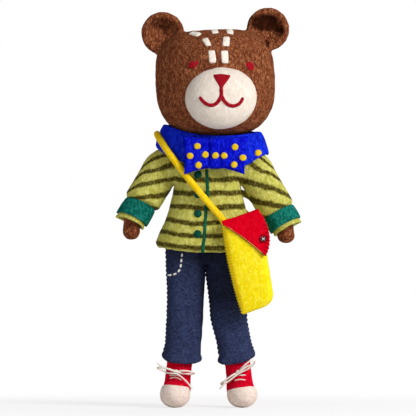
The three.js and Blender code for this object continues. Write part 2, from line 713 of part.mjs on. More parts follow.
function shoulderRings(line, grow) {
  const rings = [];
  for (let k = 0; k <= BEND_RINGS; k += 1) {
    const share = k / (BEND_RINGS + 1);
    const spoke = line.spoke(line.bend * share);
    const half = THREE.MathUtils.lerp(SLEEVE_RADIUS, SLEEVE_HALF_WIDTH, share ** 2);
    const centre = line.armpit.clone().addScaledVector(spoke, ARMPIT_RADIUS + half);
    const depth = SLEEVE_HALF_DEPTH + grow;
    rings.push(ring(centre, spoke, half + grow, AXIS_Y, depth, SLEEVE_POWER, SLEEVE_STEPS));
  }
  return rings;
}

// The sleeve's rings from the shoulder to where it is gathered into the cuff.
function upperSleeve(line, grow) {
  const half = SLEEVE_HALF_WIDTH + grow;
  const gather = line.cuffTop - CUFF_TUCK;
  return [...shoulderRings(line, grow), sleeveRing(line, 0, half), sleeveRing(line, gather, half)];
}

function sleeveForm(side, grow, past = 0) {
  const line = sleeveLine(side);
  const rings = upperSleeve(line, grow);
  if (past > 0) rings.unshift(rings[0].map((p) => p.clone().setX(p.x - side * past)));
  const cuffRing = (distance, swell) => sleeveRing(line, distance, cuffHalf(line, distance) + grow + swell);
  rings.push(cuffRing(line.cuffTop - GAP, 0), cuffRing(line.length - SLEEVE_RIM, 0));
  rings.push(cuffRing(line.length - SLEEVE_RIM / 2, RIM_SWELL), cuffRing(line.length, 0));
  if (past > 0) rings.push(cuffRing(line.length + past, 0));
  return loft(rings);
}

function cuffBand(side) {
  const line = sleeveLine(side);
  const bottom = line.length - SLEEVE_RIM - GAP;
  const wall = (grow, past) => loft([line.cuffTop - past, bottom + past].map((d) => (
    sleeveRing(line, d, cuffHalf(line, d) + grow)
  )));
  return wall(GAP + CUFF_FELT, 0).subtract(wall(GAP, OVERCUT));
}

// A stuffed arm that fills its sleeve and ends in an egg-shaped hand hanging straight down.
function arm(side) {
  const line = sleeveLine(side);
  const fill = -FELT - GAP;
  const rings = upperSleeve(line, fill);
  rings.push(sleeveRing(line, line.cuffTop - GAP, CUFF_TOP_HALF_WIDTH + fill));
  const inset = ARMPIT_RADIUS + SLEEVE_HALF_WIDTH - HAND_INSET;
  const mouth = line.armpit.clone().addScaledVector(line.spoke(line.bend), inset);
  mouth.addScaledVector(line.along, line.length);
  const wrist = mouth.clone().addScaledVector(line.along, -SLEEVE_RIM - HAND_LENGTH / 4);
  const spoke = line.spoke(line.bend);
  rings.push(ring(wrist, spoke, WRIST_RADIUS, AXIS_Y, WRIST_RADIUS, 2, SLEEVE_STEPS));
  const flat = new THREE.Vector3(side, 0, 0);
  for (const [down, width] of [[0.02, 0.93], [0.2, 1], [0.42, 0.9], [0.58, 0.6], [0.64, 0.2]]) {
    const centre = mouth.clone().addScaledVector(AXIS_Z, -down * HAND_LENGTH);
    rings.push(ring(centre, flat, width * HAND_HALF_WIDTH, AXIS_Y, width * HAND_HALF_WIDTH, 2, SLEEVE_STEPS));
  }
  const ends = [ARM_SEAT_X + GAP, SHOULDER_SPREAD + FELT].map((x) => side * x).sort((a, b) => a - b);
  return loft(rings).add(barX(ARM_ROOT_RADIUS, ...ends, 0, SHOULDER_Z));
}

for (const [name, side] of [['right', -1], ['left', 1]]) {
  addPiece(root, `${name}_arm`, arm(side), 'bear_wool');
  const sleeve = sleeveForm(side, 0).subtract(sleeveForm(side, -FELT, OVERCUT));
  addPiece(root, `${name}_sleeve`, sleeve, 'jacket_felt');
  addPiece(root, `${name}_cuff`, cuffBand(side), 'teal_felt');
}

// Strap

const strapCurve = smoothCurve(STRAP_ROUTE);
const strapForm = (grow) => tube(strapCurve, STRAP_DIAMETER / 2 + grow, 40, 6);
addPiece(root, 'strap', strapForm(0), 'strap_cord');

// Collar: a turned-down ring, deeper at the front wings, on a seat round the neck

function collarForm(grow, past = 0) {
  const count = 32;
  const edge = (halfWidth, front, back, height) => {
    const points = [];
    for (let k = 0; k < count; k += 1) {
      const [u, v] = superPoint((2 * Math.PI * k) / count, 2);
      const depth = v < 0 ? front : back;
      const x = (halfWidth + grow) * u;
      const z = height(Math.max(0, -v)) - Math.tan(radians(COLLAR_TILT)) * x;
      points.push(new THREE.Vector3(COLLAR_X + x, (depth + grow) * v, z));
    }
    return points;
  };
  const low = (front) => COLLAR_TIP_Z - COLLAR_WING_DROP * front ** COLLAR_WING_CURVE - past;
  const high = (front) => COLLAR_TOP_Z - COLLAR_FRONT_DIP * front ** 2 + past;
  return loft([
    edge(COLLAR_TIP_HALF_WIDTH, COLLAR_TIP_FRONT, COLLAR_TIP_BACK, low),
    edge(COLLAR_TOP_HALF_WIDTH, COLLAR_TOP_FRONT, COLLAR_TOP_BACK, high),
  ]);
}

const seatBottom = SHOULDER_Z + SLEEVE_RADIUS + GAP;
const seatSlab = box(REACH, REACH, COLLAR_SEAT, 0, 0, seatBottom + COLLAR_SEAT / 2);
const collarSeat = collarForm(-GAP).intersect(seatSlab);
const collarWall = collarForm(0).subtract(collarForm(-COLLAR_FELT, OVERCUT));
// Room for the head to turn: a little wider than the head, and deeper still.
const turningHead = headForm(TURN_ROOM, TURN_ROOM);
let collar = collarWall.add(collarSeat).subtract(barZ(NECK_RADIUS + GAP, 0, REACH, NECK_X, 0));
// Room for the sleeves to swing under the wings.
const SLEEVE_SWINGS = [-35, -17, 0, 15, 30];
for (const side of [-1, 1]) {
  const sleeve = turned(sleeveForm(side, 2 * GAP), [0, 0, 0], [0, 0, -SHOULDER_Z]);
  for (const swing of SLEEVE_SWINGS) {
    collar = collar.subtract(turned(sleeve, [swing, 0, 0], [0, 0, SHOULDER_Z]));
  }
}
collar = collar.subtract(bodyForm(GAP)).subtract(strapForm(GAP));
collar = collar.subtract(placed(turningHead, headMatrix));
addPiece(root, 'collar', collar, 'blue_felt');
const collarDotX = COLLAR_X + COLLAR_TIP_HALF_WIDTH - COLLAR_DOT_IN;
const collarDisc = discShape(collarDotX, COLLAR_DOT_Z, DOT_RADIUS);
const collarDot = onSurface(collarDisc, collarForm, -SLEEVE_RADIUS / 2);
addPiece(root, 'collar_dot', collarDot, 'dot_felt');

// Bow tie: two flat wings and a knot, each a thick felt pad with rounded edges

const bowBack = -COLLAR_TIP_FRONT - GAP;

function wingShape(side) {
  const inner = BOW_X + side * (KNOT_HALF_WIDTH + GAP);
  const outer = BOW_X + side * BOW_HALF_SPAN;
  const half = (inner + outer) / 2;
  const [waist, tip] = [BOW_WAIST_HALF_HEIGHT, BOW_TIP_HALF_HEIGHT];
  const tipZ = BOW_Z - BOW_TIP_DROP;
  const shape = new THREE.Shape();
  shape.moveTo(inner, BOW_Z + waist);
  shape.quadraticCurveTo(half, BOW_Z + waist, outer, tipZ + tip);
  shape.quadraticCurveTo(outer - side * BOW_PINCH, tipZ, outer, tipZ - tip);
  shape.quadraticCurveTo(half, BOW_Z - waist, inner, BOW_Z - waist);
  return shape;
}

function knotShape() {
  const shape = new THREE.Shape();
  const [wide, tall] = [KNOT_HALF_WIDTH, KNOT_HALF_HEIGHT];
  shape.moveTo(BOW_X - wide, BOW_Z - tall);
  shape.lineTo(BOW_X + wide, BOW_Z - tall);
  shape.quadraticCurveTo(BOW_X + wide - BOW_PINCH, BOW_Z, BOW_X + wide, BOW_Z + tall);
  shape.lineTo(BOW_X - wide, BOW_Z + tall);
  shape.quadraticCurveTo(BOW_X - wide + BOW_PINCH, BOW_Z, BOW_X - wide, BOW_Z - tall);
  return shape;
}

function bowPad(shape, thickness) {
  return movedBack(frontPrism(shape, thickness, BOW_ROUNDING), bowBack);
}
addPiece(root, 'bow_right_wing', bowPad(wingShape(-1), BOW_FELT), 'blue_felt');
addPiece(root, 'bow_left_wing', bowPad(wingShape(1), BOW_FELT), 'blue_felt');
addPiece(root, 'bow_knot', bowPad(knotShape(), BOW_FELT + KNOT_PROUD), 'blue_felt');

// Four dots in a diamond on each wing and one on the knot.
const bowDots = [[0, 0, bowBack - BOW_FELT - KNOT_PROUD]];
for (const side of [-1, 1]) {
  for (const [u, v] of [[0, 1], [-1, 0], [1, 0], [0, -1]]) {
    const x = side * WING_DOT_OUT + u * WING_DOT_HALF_WIDTH;
    bowDots.push([x, v * WING_DOT_HALF_HEIGHT, bowBack - BOW_FELT]);
  }
}
bowDots.forEach(([x, z, face], k) => {
  const dot = frontPrism(discShape(BOW_X + x, BOW_Z - WING_DOT_DROP + z, DOT_RADIUS), APPLIQUE);
  addPiece(root, `bow_dot_${k + 1}`, movedBack(dot, face - GAP), 'dot_felt');
});

// Trousers: a seat under the jacket and two legs that swing in it

const LEG_STEPS = 16;
const HIP_STEPS = 6;

function legForm(side, grow, below = 0) {
  const right = side < 0;
  const hipX = right ? RIGHT_HIP_X : LEFT_HIP_X;
  const hemX = right ? RIGHT_HEM_X : LEFT_HEM_X;
  const hipHalf = (right ? RIGHT_HIP_HALF_WIDTH : LEFT_HIP_HALF_WIDTH) + grow;
  const hemHalf = (right ? RIGHT_HEM_HALF_WIDTH : LEFT_HEM_HALF_WIDTH) + grow;
  const hemRing = (z, swell) => {
    const centre = new THREE.Vector3(hemX, 0, z);
    const depth = HEM_HALF_LEG_DEPTH + grow + swell;
    return ring(centre, AXIS_X, hemHalf + swell, AXIS_Y, depth, LEG_POWER, LEG_STEPS);
  };
  const hipRing = ring(
    new THREE.Vector3(hipX, 0, HIP_Z), AXIS_X, hipHalf, AXIS_Y, HIP_RADIUS + grow, LEG_POWER, LEG_STEPS,
  );
  const kneeX = right ? RIGHT_KNEE_X : LEFT_KNEE_X;
  const kneeHalf = (right ? RIGHT_KNEE_HALF_WIDTH : LEFT_KNEE_HALF_WIDTH) + grow;
  const knee = new THREE.Vector3(kneeX, 0, KNEE_Z);
  const kneeDepth = KNEE_HALF_DEPTH + grow;
  const kneeRing = ring(knee, AXIS_X, kneeHalf, AXIS_Y, kneeDepth, LEG_POWER, LEG_STEPS);
  const rings = [hipRing, kneeRing, hemRing(TROUSER_HEM + 2 * HEM_ROLL, 0)];
  rings.push(hemRing(TROUSER_HEM + HEM_ROLL, 0));
  rings.push(hemRing(TROUSER_HEM + HEM_ROLL / 2, HEM_SWELL), hemRing(TROUSER_HEM, 0));
  if (below > 0) rings.push(hemRing(TROUSER_HEM - below, 0));
  const profile = [];
  for (let k = 0; k <= HIP_STEPS; k += 1) {
    const [u, v] = superPoint((Math.PI * k) / HIP_STEPS, LEG_POWER);
    profile.push(new THREE.Vector2(Math.max(0, v) * (HIP_RADIUS + grow), u * hipHalf));
  }
  profile[0].x = 0;
  profile[HIP_STEPS].x = 0;
  const barrel = new THREE.LatheGeometry(profile.reverse(), LEG_STEPS).rotateZ(-Math.PI / 2);
  return loft(rings).add(solidOf(barrel.translate(hipX, 0, HIP_Z)));
}

const seatRings = [SEAT_LIP, SEAT_TOP].map((z) => {
  const centre = new THREE.Vector3(0, 0, z);
  return ring(centre, AXIS_X, SEAT_HALF_WIDTH, AXIS_Y, SEAT_HALF_DEPTH, LEG_POWER, LEG_STEPS);
});
const hipSocket = barX(HIP_RADIUS + GAP, -REACH, REACH, 0, HIP_Z, 40);
addPiece(root, 'trouser_seat', loft(seatRings).subtract(hipSocket), 'denim_felt');

// Shoes: an ankle, an instep and a ball toe in one form, split by a seam over the toes

const SHOE_STEPS = 20;

function shoeForm(side) {
  const station = (z, wide, front, back) => {
    const lean = (side * ANKLE_LEAN * z) / SHOE_TOP;
    const centre = new THREE.Vector3(-lean, (back - front) / 2, z);
    return ring(centre, AXIS_X, wide, AXIS_Y, (front + back) / 2, SHOE_POWER, SHOE_STEPS);
  };
  const [half, deep] = [ANKLE_HALF_WIDTH, ANKLE_HALF_DEPTH];
  const ankle = loft([
    station(0, half - HEEL_NARROW, HEEL_BACK, HEEL_BACK - HEEL_ROUNDING),
    station(2 * HEEL_ROUNDING, half - 0.75 * HEEL_NARROW, HEEL_BACK, HEEL_BACK),
    station(HEEL_Z, half - HEEL_ROUNDING / 4, HEEL_BACK, HEEL_BACK - HEEL_ROUNDING),
    station(INSTEP_Z, half, deep + HEEL_ROUNDING, deep + HEEL_ROUNDING),
    station(SHOE_TOP, half, deep, deep),
  ]);
  const toe = ovoid(TOE_HALF_WIDTH, TOE_FRONT - TOE_MIDDLE, TOE_HALF_HEIGHT, TOE_POWER, TOE_POWER, 20, 10);
  const instep = ovoid(TOE_HALF_WIDTH - HEEL_ROUNDING, TOE_MIDDLE, INSTEP_Z, 2, 2, 20, 10);
  const belowFloor = box(REACH, REACH, REACH, 0, 0, -REACH / 2);
  const foot = turned(toe, [0, 0, 0], [0, -TOE_MIDDLE, TOE_CENTRE_Z]);
  return ankle.add(foot).add(movedBack(instep, -TOE_MIDDLE / 3)).subtract(belowFloor);
}

// Everything in front of and under the toe seam, which is higher on the outer side.
function capSide(side, drop) {
  const [top, rise] = side < 0 ? [RIGHT_CAP_TOP, RIGHT_CAP_RISE] : [LEFT_CAP_TOP, LEFT_CAP_RISE];
  const under = box(REACH, REACH, REACH, 0, 0, -REACH / 2 - drop);
  const front = turned(under, [-CAP_REAR_SLOPE, 0, 0], [0, -CAP_REAR, top]);
  return turned(under, [-CAP_SLOPE, -side * rise, 0], [0, CAP_BACK - TOE_FRONT, top]).intersect(front);
}

// A lace tied in a bow on the ankle: a knot, two loops and two tails.
function lace(side) {
  const [knotPlace, ends] = side < 0 ? [RIGHT_LACE_KNOT, RIGHT_LACE_ENDS] : [LEFT_LACE_KNOT, LEFT_LACE_ENDS];
  const strand = (route, steps) => tube(smoothCurve(route), LACE_DIAMETER / 2, steps, 4);
  const knot = turned(ovoid(KNOT_RADIUS, KNOT_RADIUS, KNOT_RADIUS, 2, 2, 8, 4), [0, 0, 0], knotPlace);
  return ends.reduce((bow, { loop, tail }) => (
    bow.add(strand(loop, 16)).add(strand([loop.at(-1), ...tail], 5))
  ), knot);
}

for (const [name, side] of [['right', -1], ['left', 1]]) {
  const right = side < 0;
  const belowLeg = box(REACH, REACH, REACH, 0, 0, SHOE_TOP + GAP - REACH / 2);
  addPiece(root, `${name}_leg`, legForm(side, -FELT - GAP).subtract(belowLeg), 'bear_wool');
  const trouserLeg = legForm(side, 0).subtract(legForm(side, -FELT, OVERCUT));
  addPiece(root, `${name}_trouser_leg`, trouserLeg, 'denim_felt');
  const shoe = new THREE.Group();
  shoe.position.set((right ? RIGHT_HEM_X : LEFT_HEM_X) + side * SHOE_OUT, 0, 0);
  shoe.rotation.z = radians(side * TOE_OUT);
  root.add(shoe);
  const form = shoeForm(side);
  addPiece(shoe, `${name}_shoe_upper`, form.subtract(capSide(side, 0)), 'shoe_felt');
  addPiece(shoe, `${name}_toe_cap`, form.intersect(capSide(side, GAP)), 'toe_felt');
  addPiece(root, `${name}_lace`, lace(side), 'lace_cord');
}

// Bag: a back panel, a folded front with walls, and a flap over the mouth

const slopeOf = (angle) => new THREE.Vector2(Math.cos(radians(angle)), Math.sin(radians(angle)));
const bagTop = slopeOf(BAG_TOP_SLOPE);
const bagCorners = (() => {
  const topLeft = new THREE.Vector2(BAG_X, BAG_Z);
  const topRight = topLeft.clone().addScaledVector(bagTop, BAG_TOP_WIDTH);
  const bottomLeft = topLeft.clone().addScaledVector(slopeOf(BAG_LEAN - QUARTER_TURN), BAG_SIDE);
  const bottomRight = bottomLeft.clone().addScaledVector(slopeOf(BAG_BOTTOM_SLOPE), BAG_BOTTOM_WIDTH);
  return { topLeft, topRight, bottomLeft, bottomRight };
})();

function bagOutline() {
  const { topLeft, topRight, bottomLeft, bottomRight } = bagCorners;
  const shape = new THREE.Shape();
  const bulge = topLeft.clone().lerp(bottomLeft, 0.35).sub(new THREE.Vector2(BAG_BULGE, 0));
  const before = bottomRight.clone().sub(slopeOf(BAG_BOTTOM_SLOPE).multiplyScalar(BAG_CORNER));
  const after = bottomRight.clone().lerp(topRight, BAG_CORNER / bottomRight.distanceTo(topRight));
  shape.moveTo(topLeft.x, topLeft.y);
  shape.quadraticCurveTo(bulge.x, bulge.y, bottomLeft.x, bottomLeft.y);
  shape.lineTo(before.x, before.y);
  shape.quadraticCurveTo(bottomRight.x, bottomRight.y, after.x, after.y);
  shape.lineTo(topRight.x, topRight.y);
  return shape.getPoints(6);
}

// A convex outline drawn in by a distance on every edge.
function drawnIn(points, distance) {
  const count = points.length;
  const lines = points.map((a, k) => {
    const b = points[(k + 1) % count];
    const along = b.clone().sub(a).normalize();
    const inward = new THREE.Vector2(-along.y, along.x);
    return { start: a.clone().addScaledVector(inward, distance), along };
  });
  return lines.map((line, k) => {
    const last = lines[(k + count - 1) % count];
    const apart = line.start.clone().sub(last.start);
    const reach = apart.cross(line.along) / last.along.cross(line.along);
    return last.start.clone().addScaledVector(last.along, reach);
  });
}

const outline = bagOutline();
const tidyOutline = outline.filter((p, k) => p.distanceTo(outline[(k + 1) % outline.length]) > WELD);
const bagFrontY = BAG_BACK_Y - BAG_FELT - GAP;
const bagFaceY = bagFrontY - BAG_ROOM - BAG_FELT;
const bagPrism = (points, depth, back) => movedBack(frontPrism(new THREE.Shape(points), depth), back);
addPiece(root, 'bag_back', bagPrism(tidyOutline, BAG_FELT, BAG_BACK_Y), 'bag_felt');
const lining = drawnIn(tidyOutline, BAG_FELT);
const mouthLift = new THREE.Vector2(-bagTop.y, bagTop.x).multiplyScalar(2 * BAG_FELT);
const pouch = (points) => bagPrism(points, BAG_ROOM + OVERCUT, bagFrontY + OVERCUT);
const mouthRoom = pouch(lining.map((p) => p.clone().add(mouthLift)));
const bagFront = bagPrism(tidyOutline, BAG_ROOM + BAG_FELT, bagFrontY);
addPiece(root, 'bag_front', bagFront.subtract(pouch(lining)).subtract(mouthRoom), 'bag_felt');

// The flap's top strip lies over the mouth and its slanted front hangs lowest at the catch.
const flapRise = new THREE.Vector2(-bagTop.y, bagTop.x);
const flapPoint = (along, up) => (
  bagCorners.topLeft.clone().addScaledVector(bagTop, along).addScaledVector(flapRise, up)
);
const flapTop = GAP + FLAP_FELT;

function flapFrontShape() {
  const shape = new THREE.Shape();
  const [start, end] = [flapPoint(0, flapTop), flapPoint(BAG_TOP_WIDTH, flapTop)];
  const corner = end.clone().add(new THREE.Vector2(FLAP_CORNER_OUT, -FLAP_CORNER_DROP));
  const tip = end.clone().add(new THREE.Vector2(FLAP_OVERHANG, -FLAP_DROP));
  const low = flapPoint(0, -GAP);
  const soft = FLAP_ROUNDING;
  shape.moveTo(start.x, start.y);
  shape.lineTo(low.x, low.y);
  shape.quadraticCurveTo((low.x + tip.x) / 2, (low.y + tip.y) / 2 + FLAP_SAG, tip.x - soft, tip.y);
  shape.quadraticCurveTo(tip.x + soft / 2, tip.y - soft / 4, tip.x + soft / 2, tip.y + soft);
  shape.quadraticCurveTo(corner.x + soft / 4, corner.y - soft, corner.x, corner.y + soft);
  shape.lineTo(end.x, end.y);
  return shape;
}

const stripPoints = [
  flapPoint(0, GAP), flapPoint(BAG_TOP_WIDTH, GAP), flapPoint(BAG_TOP_WIDTH, flapTop), flapPoint(0, flapTop),
];
const flapFaceY = bagFaceY - GAP;
const flapStrip = bagPrism(stripPoints, BAG_BACK_Y - flapFaceY + FLAP_FELT, BAG_BACK_Y);
const flap = movedBack(frontPrism(flapFrontShape(), FLAP_FELT), flapFaceY).add(flapStrip);
addPiece(root, 'bag_flap', flap, 'flap_felt');
const catchPlace = bagCorners.topRight.clone().add(new THREE.Vector2(CATCH_OUT, -CATCH_DROP));
const catchProfile = [[0, 0], [1, 0], [1, 0.5], [0.75, 0.95], [0, 1]].map(([r, h]) => (
  new THREE.Vector2(r * CATCH_RADIUS, h * CATCH_HEIGHT)
));
const catchButton = new THREE.LatheGeometry(catchProfile, 16).rotateX(Math.PI);
catchButton.translate(catchPlace.x, flapFaceY - FLAP_FELT - GAP, catchPlace.y);
addPiece(root, 'flap_button', solidOf(catchButton), 'catch_button');

export default root;
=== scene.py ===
import math

import bpy
import numpy as np
from mathutils import Matrix, Vector, noise
from mathutils.bvhtree import BVHTree


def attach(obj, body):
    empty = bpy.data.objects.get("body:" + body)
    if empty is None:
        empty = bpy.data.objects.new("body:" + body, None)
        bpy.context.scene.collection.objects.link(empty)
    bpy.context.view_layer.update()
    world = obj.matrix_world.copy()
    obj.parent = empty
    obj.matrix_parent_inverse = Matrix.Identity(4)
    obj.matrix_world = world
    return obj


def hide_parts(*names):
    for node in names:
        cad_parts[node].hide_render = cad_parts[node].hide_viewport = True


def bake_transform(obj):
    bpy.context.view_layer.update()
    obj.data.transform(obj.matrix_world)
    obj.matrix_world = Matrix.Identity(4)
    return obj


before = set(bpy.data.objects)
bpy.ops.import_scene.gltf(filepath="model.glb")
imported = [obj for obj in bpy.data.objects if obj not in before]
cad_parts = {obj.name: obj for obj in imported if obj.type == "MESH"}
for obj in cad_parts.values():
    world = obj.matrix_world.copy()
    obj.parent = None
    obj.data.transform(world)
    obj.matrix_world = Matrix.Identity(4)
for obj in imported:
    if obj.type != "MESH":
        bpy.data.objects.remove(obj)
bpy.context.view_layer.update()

# Shapes are drawn in millimetres in the figure's own frame, whose origin is between the feet.
MM = 0.001
FIGURE_SHIFT = np.array([-1.8, 7.0, 0.0])
SIDES = (("right", -1), ("left", 1))
ACROSS, DEEP, UP = np.eye(3)

# Photograph: millimetres to a pixel, the pixel over the figure's middle and the pixel row of the floor.
PIXEL = 0.82707
PIXEL_MIDDLE = 207.5
PIXEL_FLOOR = 407.0
PHOTO_WIDTH = 416
CAMERA_DISTANCE = 5.0
SENSOR = 36.0


def to_row(points):
    return (np.asarray(points, float) + FIGURE_SHIFT) * MM


def from_pixel(px, py, ahead=0.0):
    """A place in the photograph as x and z in the figure's frame, so far ahead of its middle."""
    nearer = 1 - ahead * MM / CAMERA_DISTANCE
    middle = PHOTO_WIDTH / 2
    x = (middle + (px - middle) * nearer - PIXEL_MIDDLE) * PIXEL
    z = (PIXEL_FLOOR - middle - (py - middle) * nearer) * PIXEL
    return x, z


def slope(degrees):
    return np.array([math.cos(math.radians(degrees)), math.sin(math.radians(degrees))])


def turning(degrees, axis):
    return Matrix.Rotation(math.radians(degrees), 3, axis)


def between(ends, share):
    return ends[0] + (ends[1] - ends[0]) * share


def new_object(name, data):
    made = bpy.data.objects.new(name, data)
    bpy.context.scene.collection.objects.link(made)
    return made


def make_camera():
    data = bpy.data.cameras.new("photo_camera")
    data.sensor_width = SENSOR
    data.lens = SENSOR * CAMERA_DISTANCE / (PHOTO_WIDTH * PIXEL * MM)
    data.clip_end = 100
    camera = new_object("photo_camera", data)
    x, z = from_pixel(PHOTO_WIDTH / 2, PHOTO_WIDTH / 2)
    camera.location = Vector(to_row([x, 0, z])) - Vector((0, CAMERA_DISTANCE, 0))
    camera.rotation_euler = (math.radians(90), 0, 0)
    bpy.context.scene.camera = camera


def area_light(name, place, aim, size, power):
    data = bpy.data.lights.new(name, "AREA")
    data.shape = "DISK"
    data.size = size
    data.energy = power
    light = new_object(name, data)
    light.location = place
    light.rotation_euler = (Vector(aim) - Vector(place)).to_track_quat("-Z", "Y").to_euler()


# Node helpers

NOISE_MIDDLE = 0.5


def cleared_tree(owner):
    owner.use_nodes = True
    owner.node_tree.nodes.clear()
    return owner.node_tree


def node(tree, kind, inputs=None, **settings):
    made = tree.nodes.new(kind)
    for key, value in settings.items():
        setattr(made, key, value)
    for key, value in (inputs or {}).items():
        if isinstance(value, bpy.types.NodeSocket):
            tree.links.new(value, made.inputs[key])
        else:
            made.inputs[key].default_value = value
    return made


def math_node(tree, operation, *values):
    return node(tree, "ShaderNodeMath", dict(enumerate(values)), operation=operation).outputs[0]


def times(tree, first, second):
    return math_node(tree, "MULTIPLY", first, second)


def plus(tree, first, second):
    return math_node(tree, "ADD", first, second)


def highest(tree, first, second):
    return math_node(tree, "MAXIMUM", first, second)


def mixed(tree, share, first, second):
    inputs = {"Factor": share, 6: first, 7: second}
    return node(tree, "ShaderNodeMix", inputs, data_type="RGBA", clamp_factor=True).outputs[2]


def ramp(tree, value, low, high, to_low=0.0, to_high=1.0):
    inputs = {"Value": value, "From Min": low, "From Max": high, "To Min": to_low, "To Max": to_high}
    return node(tree, "ShaderNodeMapRange", inputs, interpolation_type="SMOOTHSTEP").outputs[0]


def colour(red, green, blue):
    """A colour of 0 to 255 as the shader's linear values."""
    shares = np.array([red, green, blue]) / 255
    linear = np.where(shares <= 0.04045, shares / 12.92, ((shares + 0.055) / 1.055) ** 2.4)
    return (*linear.tolist(), 1.0)


def millimetres(tree, stretch=(1, 1, 1), shift=0.0):
    """The surface's own place in millimetres."""
    place = node(tree, "ShaderNodeTexCoord").outputs["Object"]
    inputs = {"Vector": place, "Scale": [s / MM for s in stretch], "Location": [shift] * 3}
    return node(tree, "ShaderNodeMapping", inputs).outputs[0]


def grain(tree, place, size, detail, wander=0.0):
    """Noise whose lumps are about that many millimetres."""
    inputs = {"Vector": place, "Scale": 1 / size, "Detail": detail, "Distortion": wander}
    return node(tree, "ShaderNodeTexNoise", inputs).outputs[0]


def uneven(tree, place, size, detail, reach):
    """Noise about zero."""
    return times(tree, math_node(tree, "SUBTRACT", grain(tree, place, size, detail), NOISE_MIDDLE), reach)


def strands(tree, place, size, width, wander):
    """Curly fibres: thin lines where a noise passes its middle value."""
    off = math_node(tree, "SUBTRACT", grain(tree, place, size, 1.0, wander), NOISE_MIDDLE)
    return ramp(tree, math_node(tree, "ABSOLUTE", off), 0.0, width, 1.0, 0.0)


def own_value(tree, name):
    return node(tree, "ShaderNodeAttribute", attribute_name=name).outputs["Fac"]


# Felt: how its fibres lie, as stretches of the pattern along x, y and z
UPRIGHT = (1, 1, 0.5)
LEVEL = (0.45, 0.45, 1.1)
# Sizes of the felt's clouds, tufts, curls, fine threads and dark gaps
CLOUDS, TUFTS, CURLS, THREADS, GAPS = 9, 2.2, 3.4, 1.9, 2.6
FIBRE_RELIEF = 0.5 * MM
SHEEN = 0.05
SHEEN_ROUGHNESS = 0.45
# Where dark stripes and the painted shade in hollows fade; then size, detail and reach of the noise that
# makes them uneven
STRIPE_EDGE = (0.1, 0.27)
STRIPE_WAVER = (16, 1.0, 0.34)
STRIPE_RAGGED = (2.6, 3.0, 0.2)
HOLLOW_SHADE_EDGE = (0.3, 0.8)
HOLLOW_SHADE_RAGGED = (5.0, 4.0, 0.9)
STRIPE_COLOURS = [colour(62, 50, 12), colour(36, 28, 5), colour(120, 106, 44)]
# Painted shade for the trousers: darker denim, its darkest and its lightest fibres
PAINTED_SHADE_COLOURS = [colour(24, 25, 38), colour(12, 12, 20), colour(46, 52, 78)]
# Painted shade for the hollows of the ears: darker wool, its darkest and its lightest fibres
HOLLOW_SHADE_COLOURS = [colour(44, 18, 9), colour(26, 9, 4), colour(92, 48, 28)]


def recoloured(tree, share, colours, others):
    return [mixed(tree, share, *pair) for pair in zip(colours, others)]


def striped(tree, place, colours):
    """Dark wavering stripes where the mesh's own stripe count is near a whole number."""
    bent = plus(tree, own_value(tree, "stripe"), uneven(tree, place, *STRIPE_WAVER))
    bent = plus(tree, bent, uneven(tree, place, *STRIPE_RAGGED))
    across = math_node(tree, "PINGPONG", plus(tree, bent, 10.0), 0.5)
    stripe = ramp(tree, across, *STRIPE_EDGE, 1.0, 0.0)
    heather = ramp(tree, grain(tree, place, 1.6, 2.0), 0.25, 0.6, 0.74, 1.0)
    return recoloured(tree, times(tree, stripe, heather), colours, STRIPE_COLOURS)


def painted_hollow_shade(tree, place, colours):
    """Painted shade: the wool darkened where the mesh's own hollow value says so."""
    value = plus(tree, own_value(tree, "hollow"), uneven(tree, place, *HOLLOW_SHADE_RAGGED))
    return recoloured(tree, ramp(tree, value, *HOLLOW_SHADE_EDGE), colours, HOLLOW_SHADE_COLOURS)


def shadowed(tree, place, colours):
    """Painted shade: deeper colours where the mesh's own deep value says so."""
    return recoloured(tree, own_value(tree, "deep"), colours, PAINTED_SHADE_COLOURS)


def felt(name, base, dark, light, fibre, mottle, coarse=1.0, lie=UPRIGHT, paint=None):
    """Needle felt: mottled wool with curly fibres lying on it. paint may change the wool's colours: stripes
    on the jacket, painted shade on the ears and trousers.
    """
    material = bpy.data.materials.new(name)
    tree = cleared_tree(material)
    place = millimetres(tree)
    slanted = millimetres(tree, lie, 31.7)
    clouds = grain(tree, place, CLOUDS * coarse, 3.0, 0.4)
    tufts = grain(tree, slanted, TUFTS * coarse, 3.0, 1.2)
    curls = strands(tree, slanted, CURLS * coarse, 0.075, 1.6)
    threads = strands(tree, millimetres(tree, lie, 83.1), THREADS * coarse, 0.08, 1.0)
    gaps = strands(tree, millimetres(tree, lie, 57.3), GAPS * coarse, 0.08, 1.3)
    colours = [colour(*base), colour(*dark), colour(*light)]
    if paint:
        colours = paint(tree, place, colours)
    shade = ramp(tree, plus(tree, times(tree, clouds, 0.5), tufts), 0.55, 1.0, 1.0, 0.0)
    deep = highest(tree, shade, times(tree, gaps, 0.8))
    wool = mixed(tree, times(tree, deep, mottle), colours[0], colours[1])
    lines = highest(tree, curls, times(tree, threads, 0.7))
    patchy = times(tree, lines, ramp(tree, tufts, 0.35, 0.7))
    wool = mixed(tree, times(tree, patchy, fibre), wool, colours[2])
    height = plus(tree, times(tree, lines, 0.5), tufts)
    relief = node(tree, "ShaderNodeBump", {"Height": height, "Strength": 0.55, "Distance": FIBRE_RELIEF})
    shader = node(tree, "ShaderNodeBsdfPrincipled", {
        "Base Color": wool, "Normal": relief.outputs[0], "Roughness": 0.94, "Specular IOR Level": 0.0,
        "Sheen Weight": SHEEN, "Sheen Roughness": SHEEN_ROUGHNESS, "Sheen Tint": colour(*light),
    })
    node(tree, "ShaderNodeOutputMaterial", {"Surface": shader.outputs[0]})
    return material


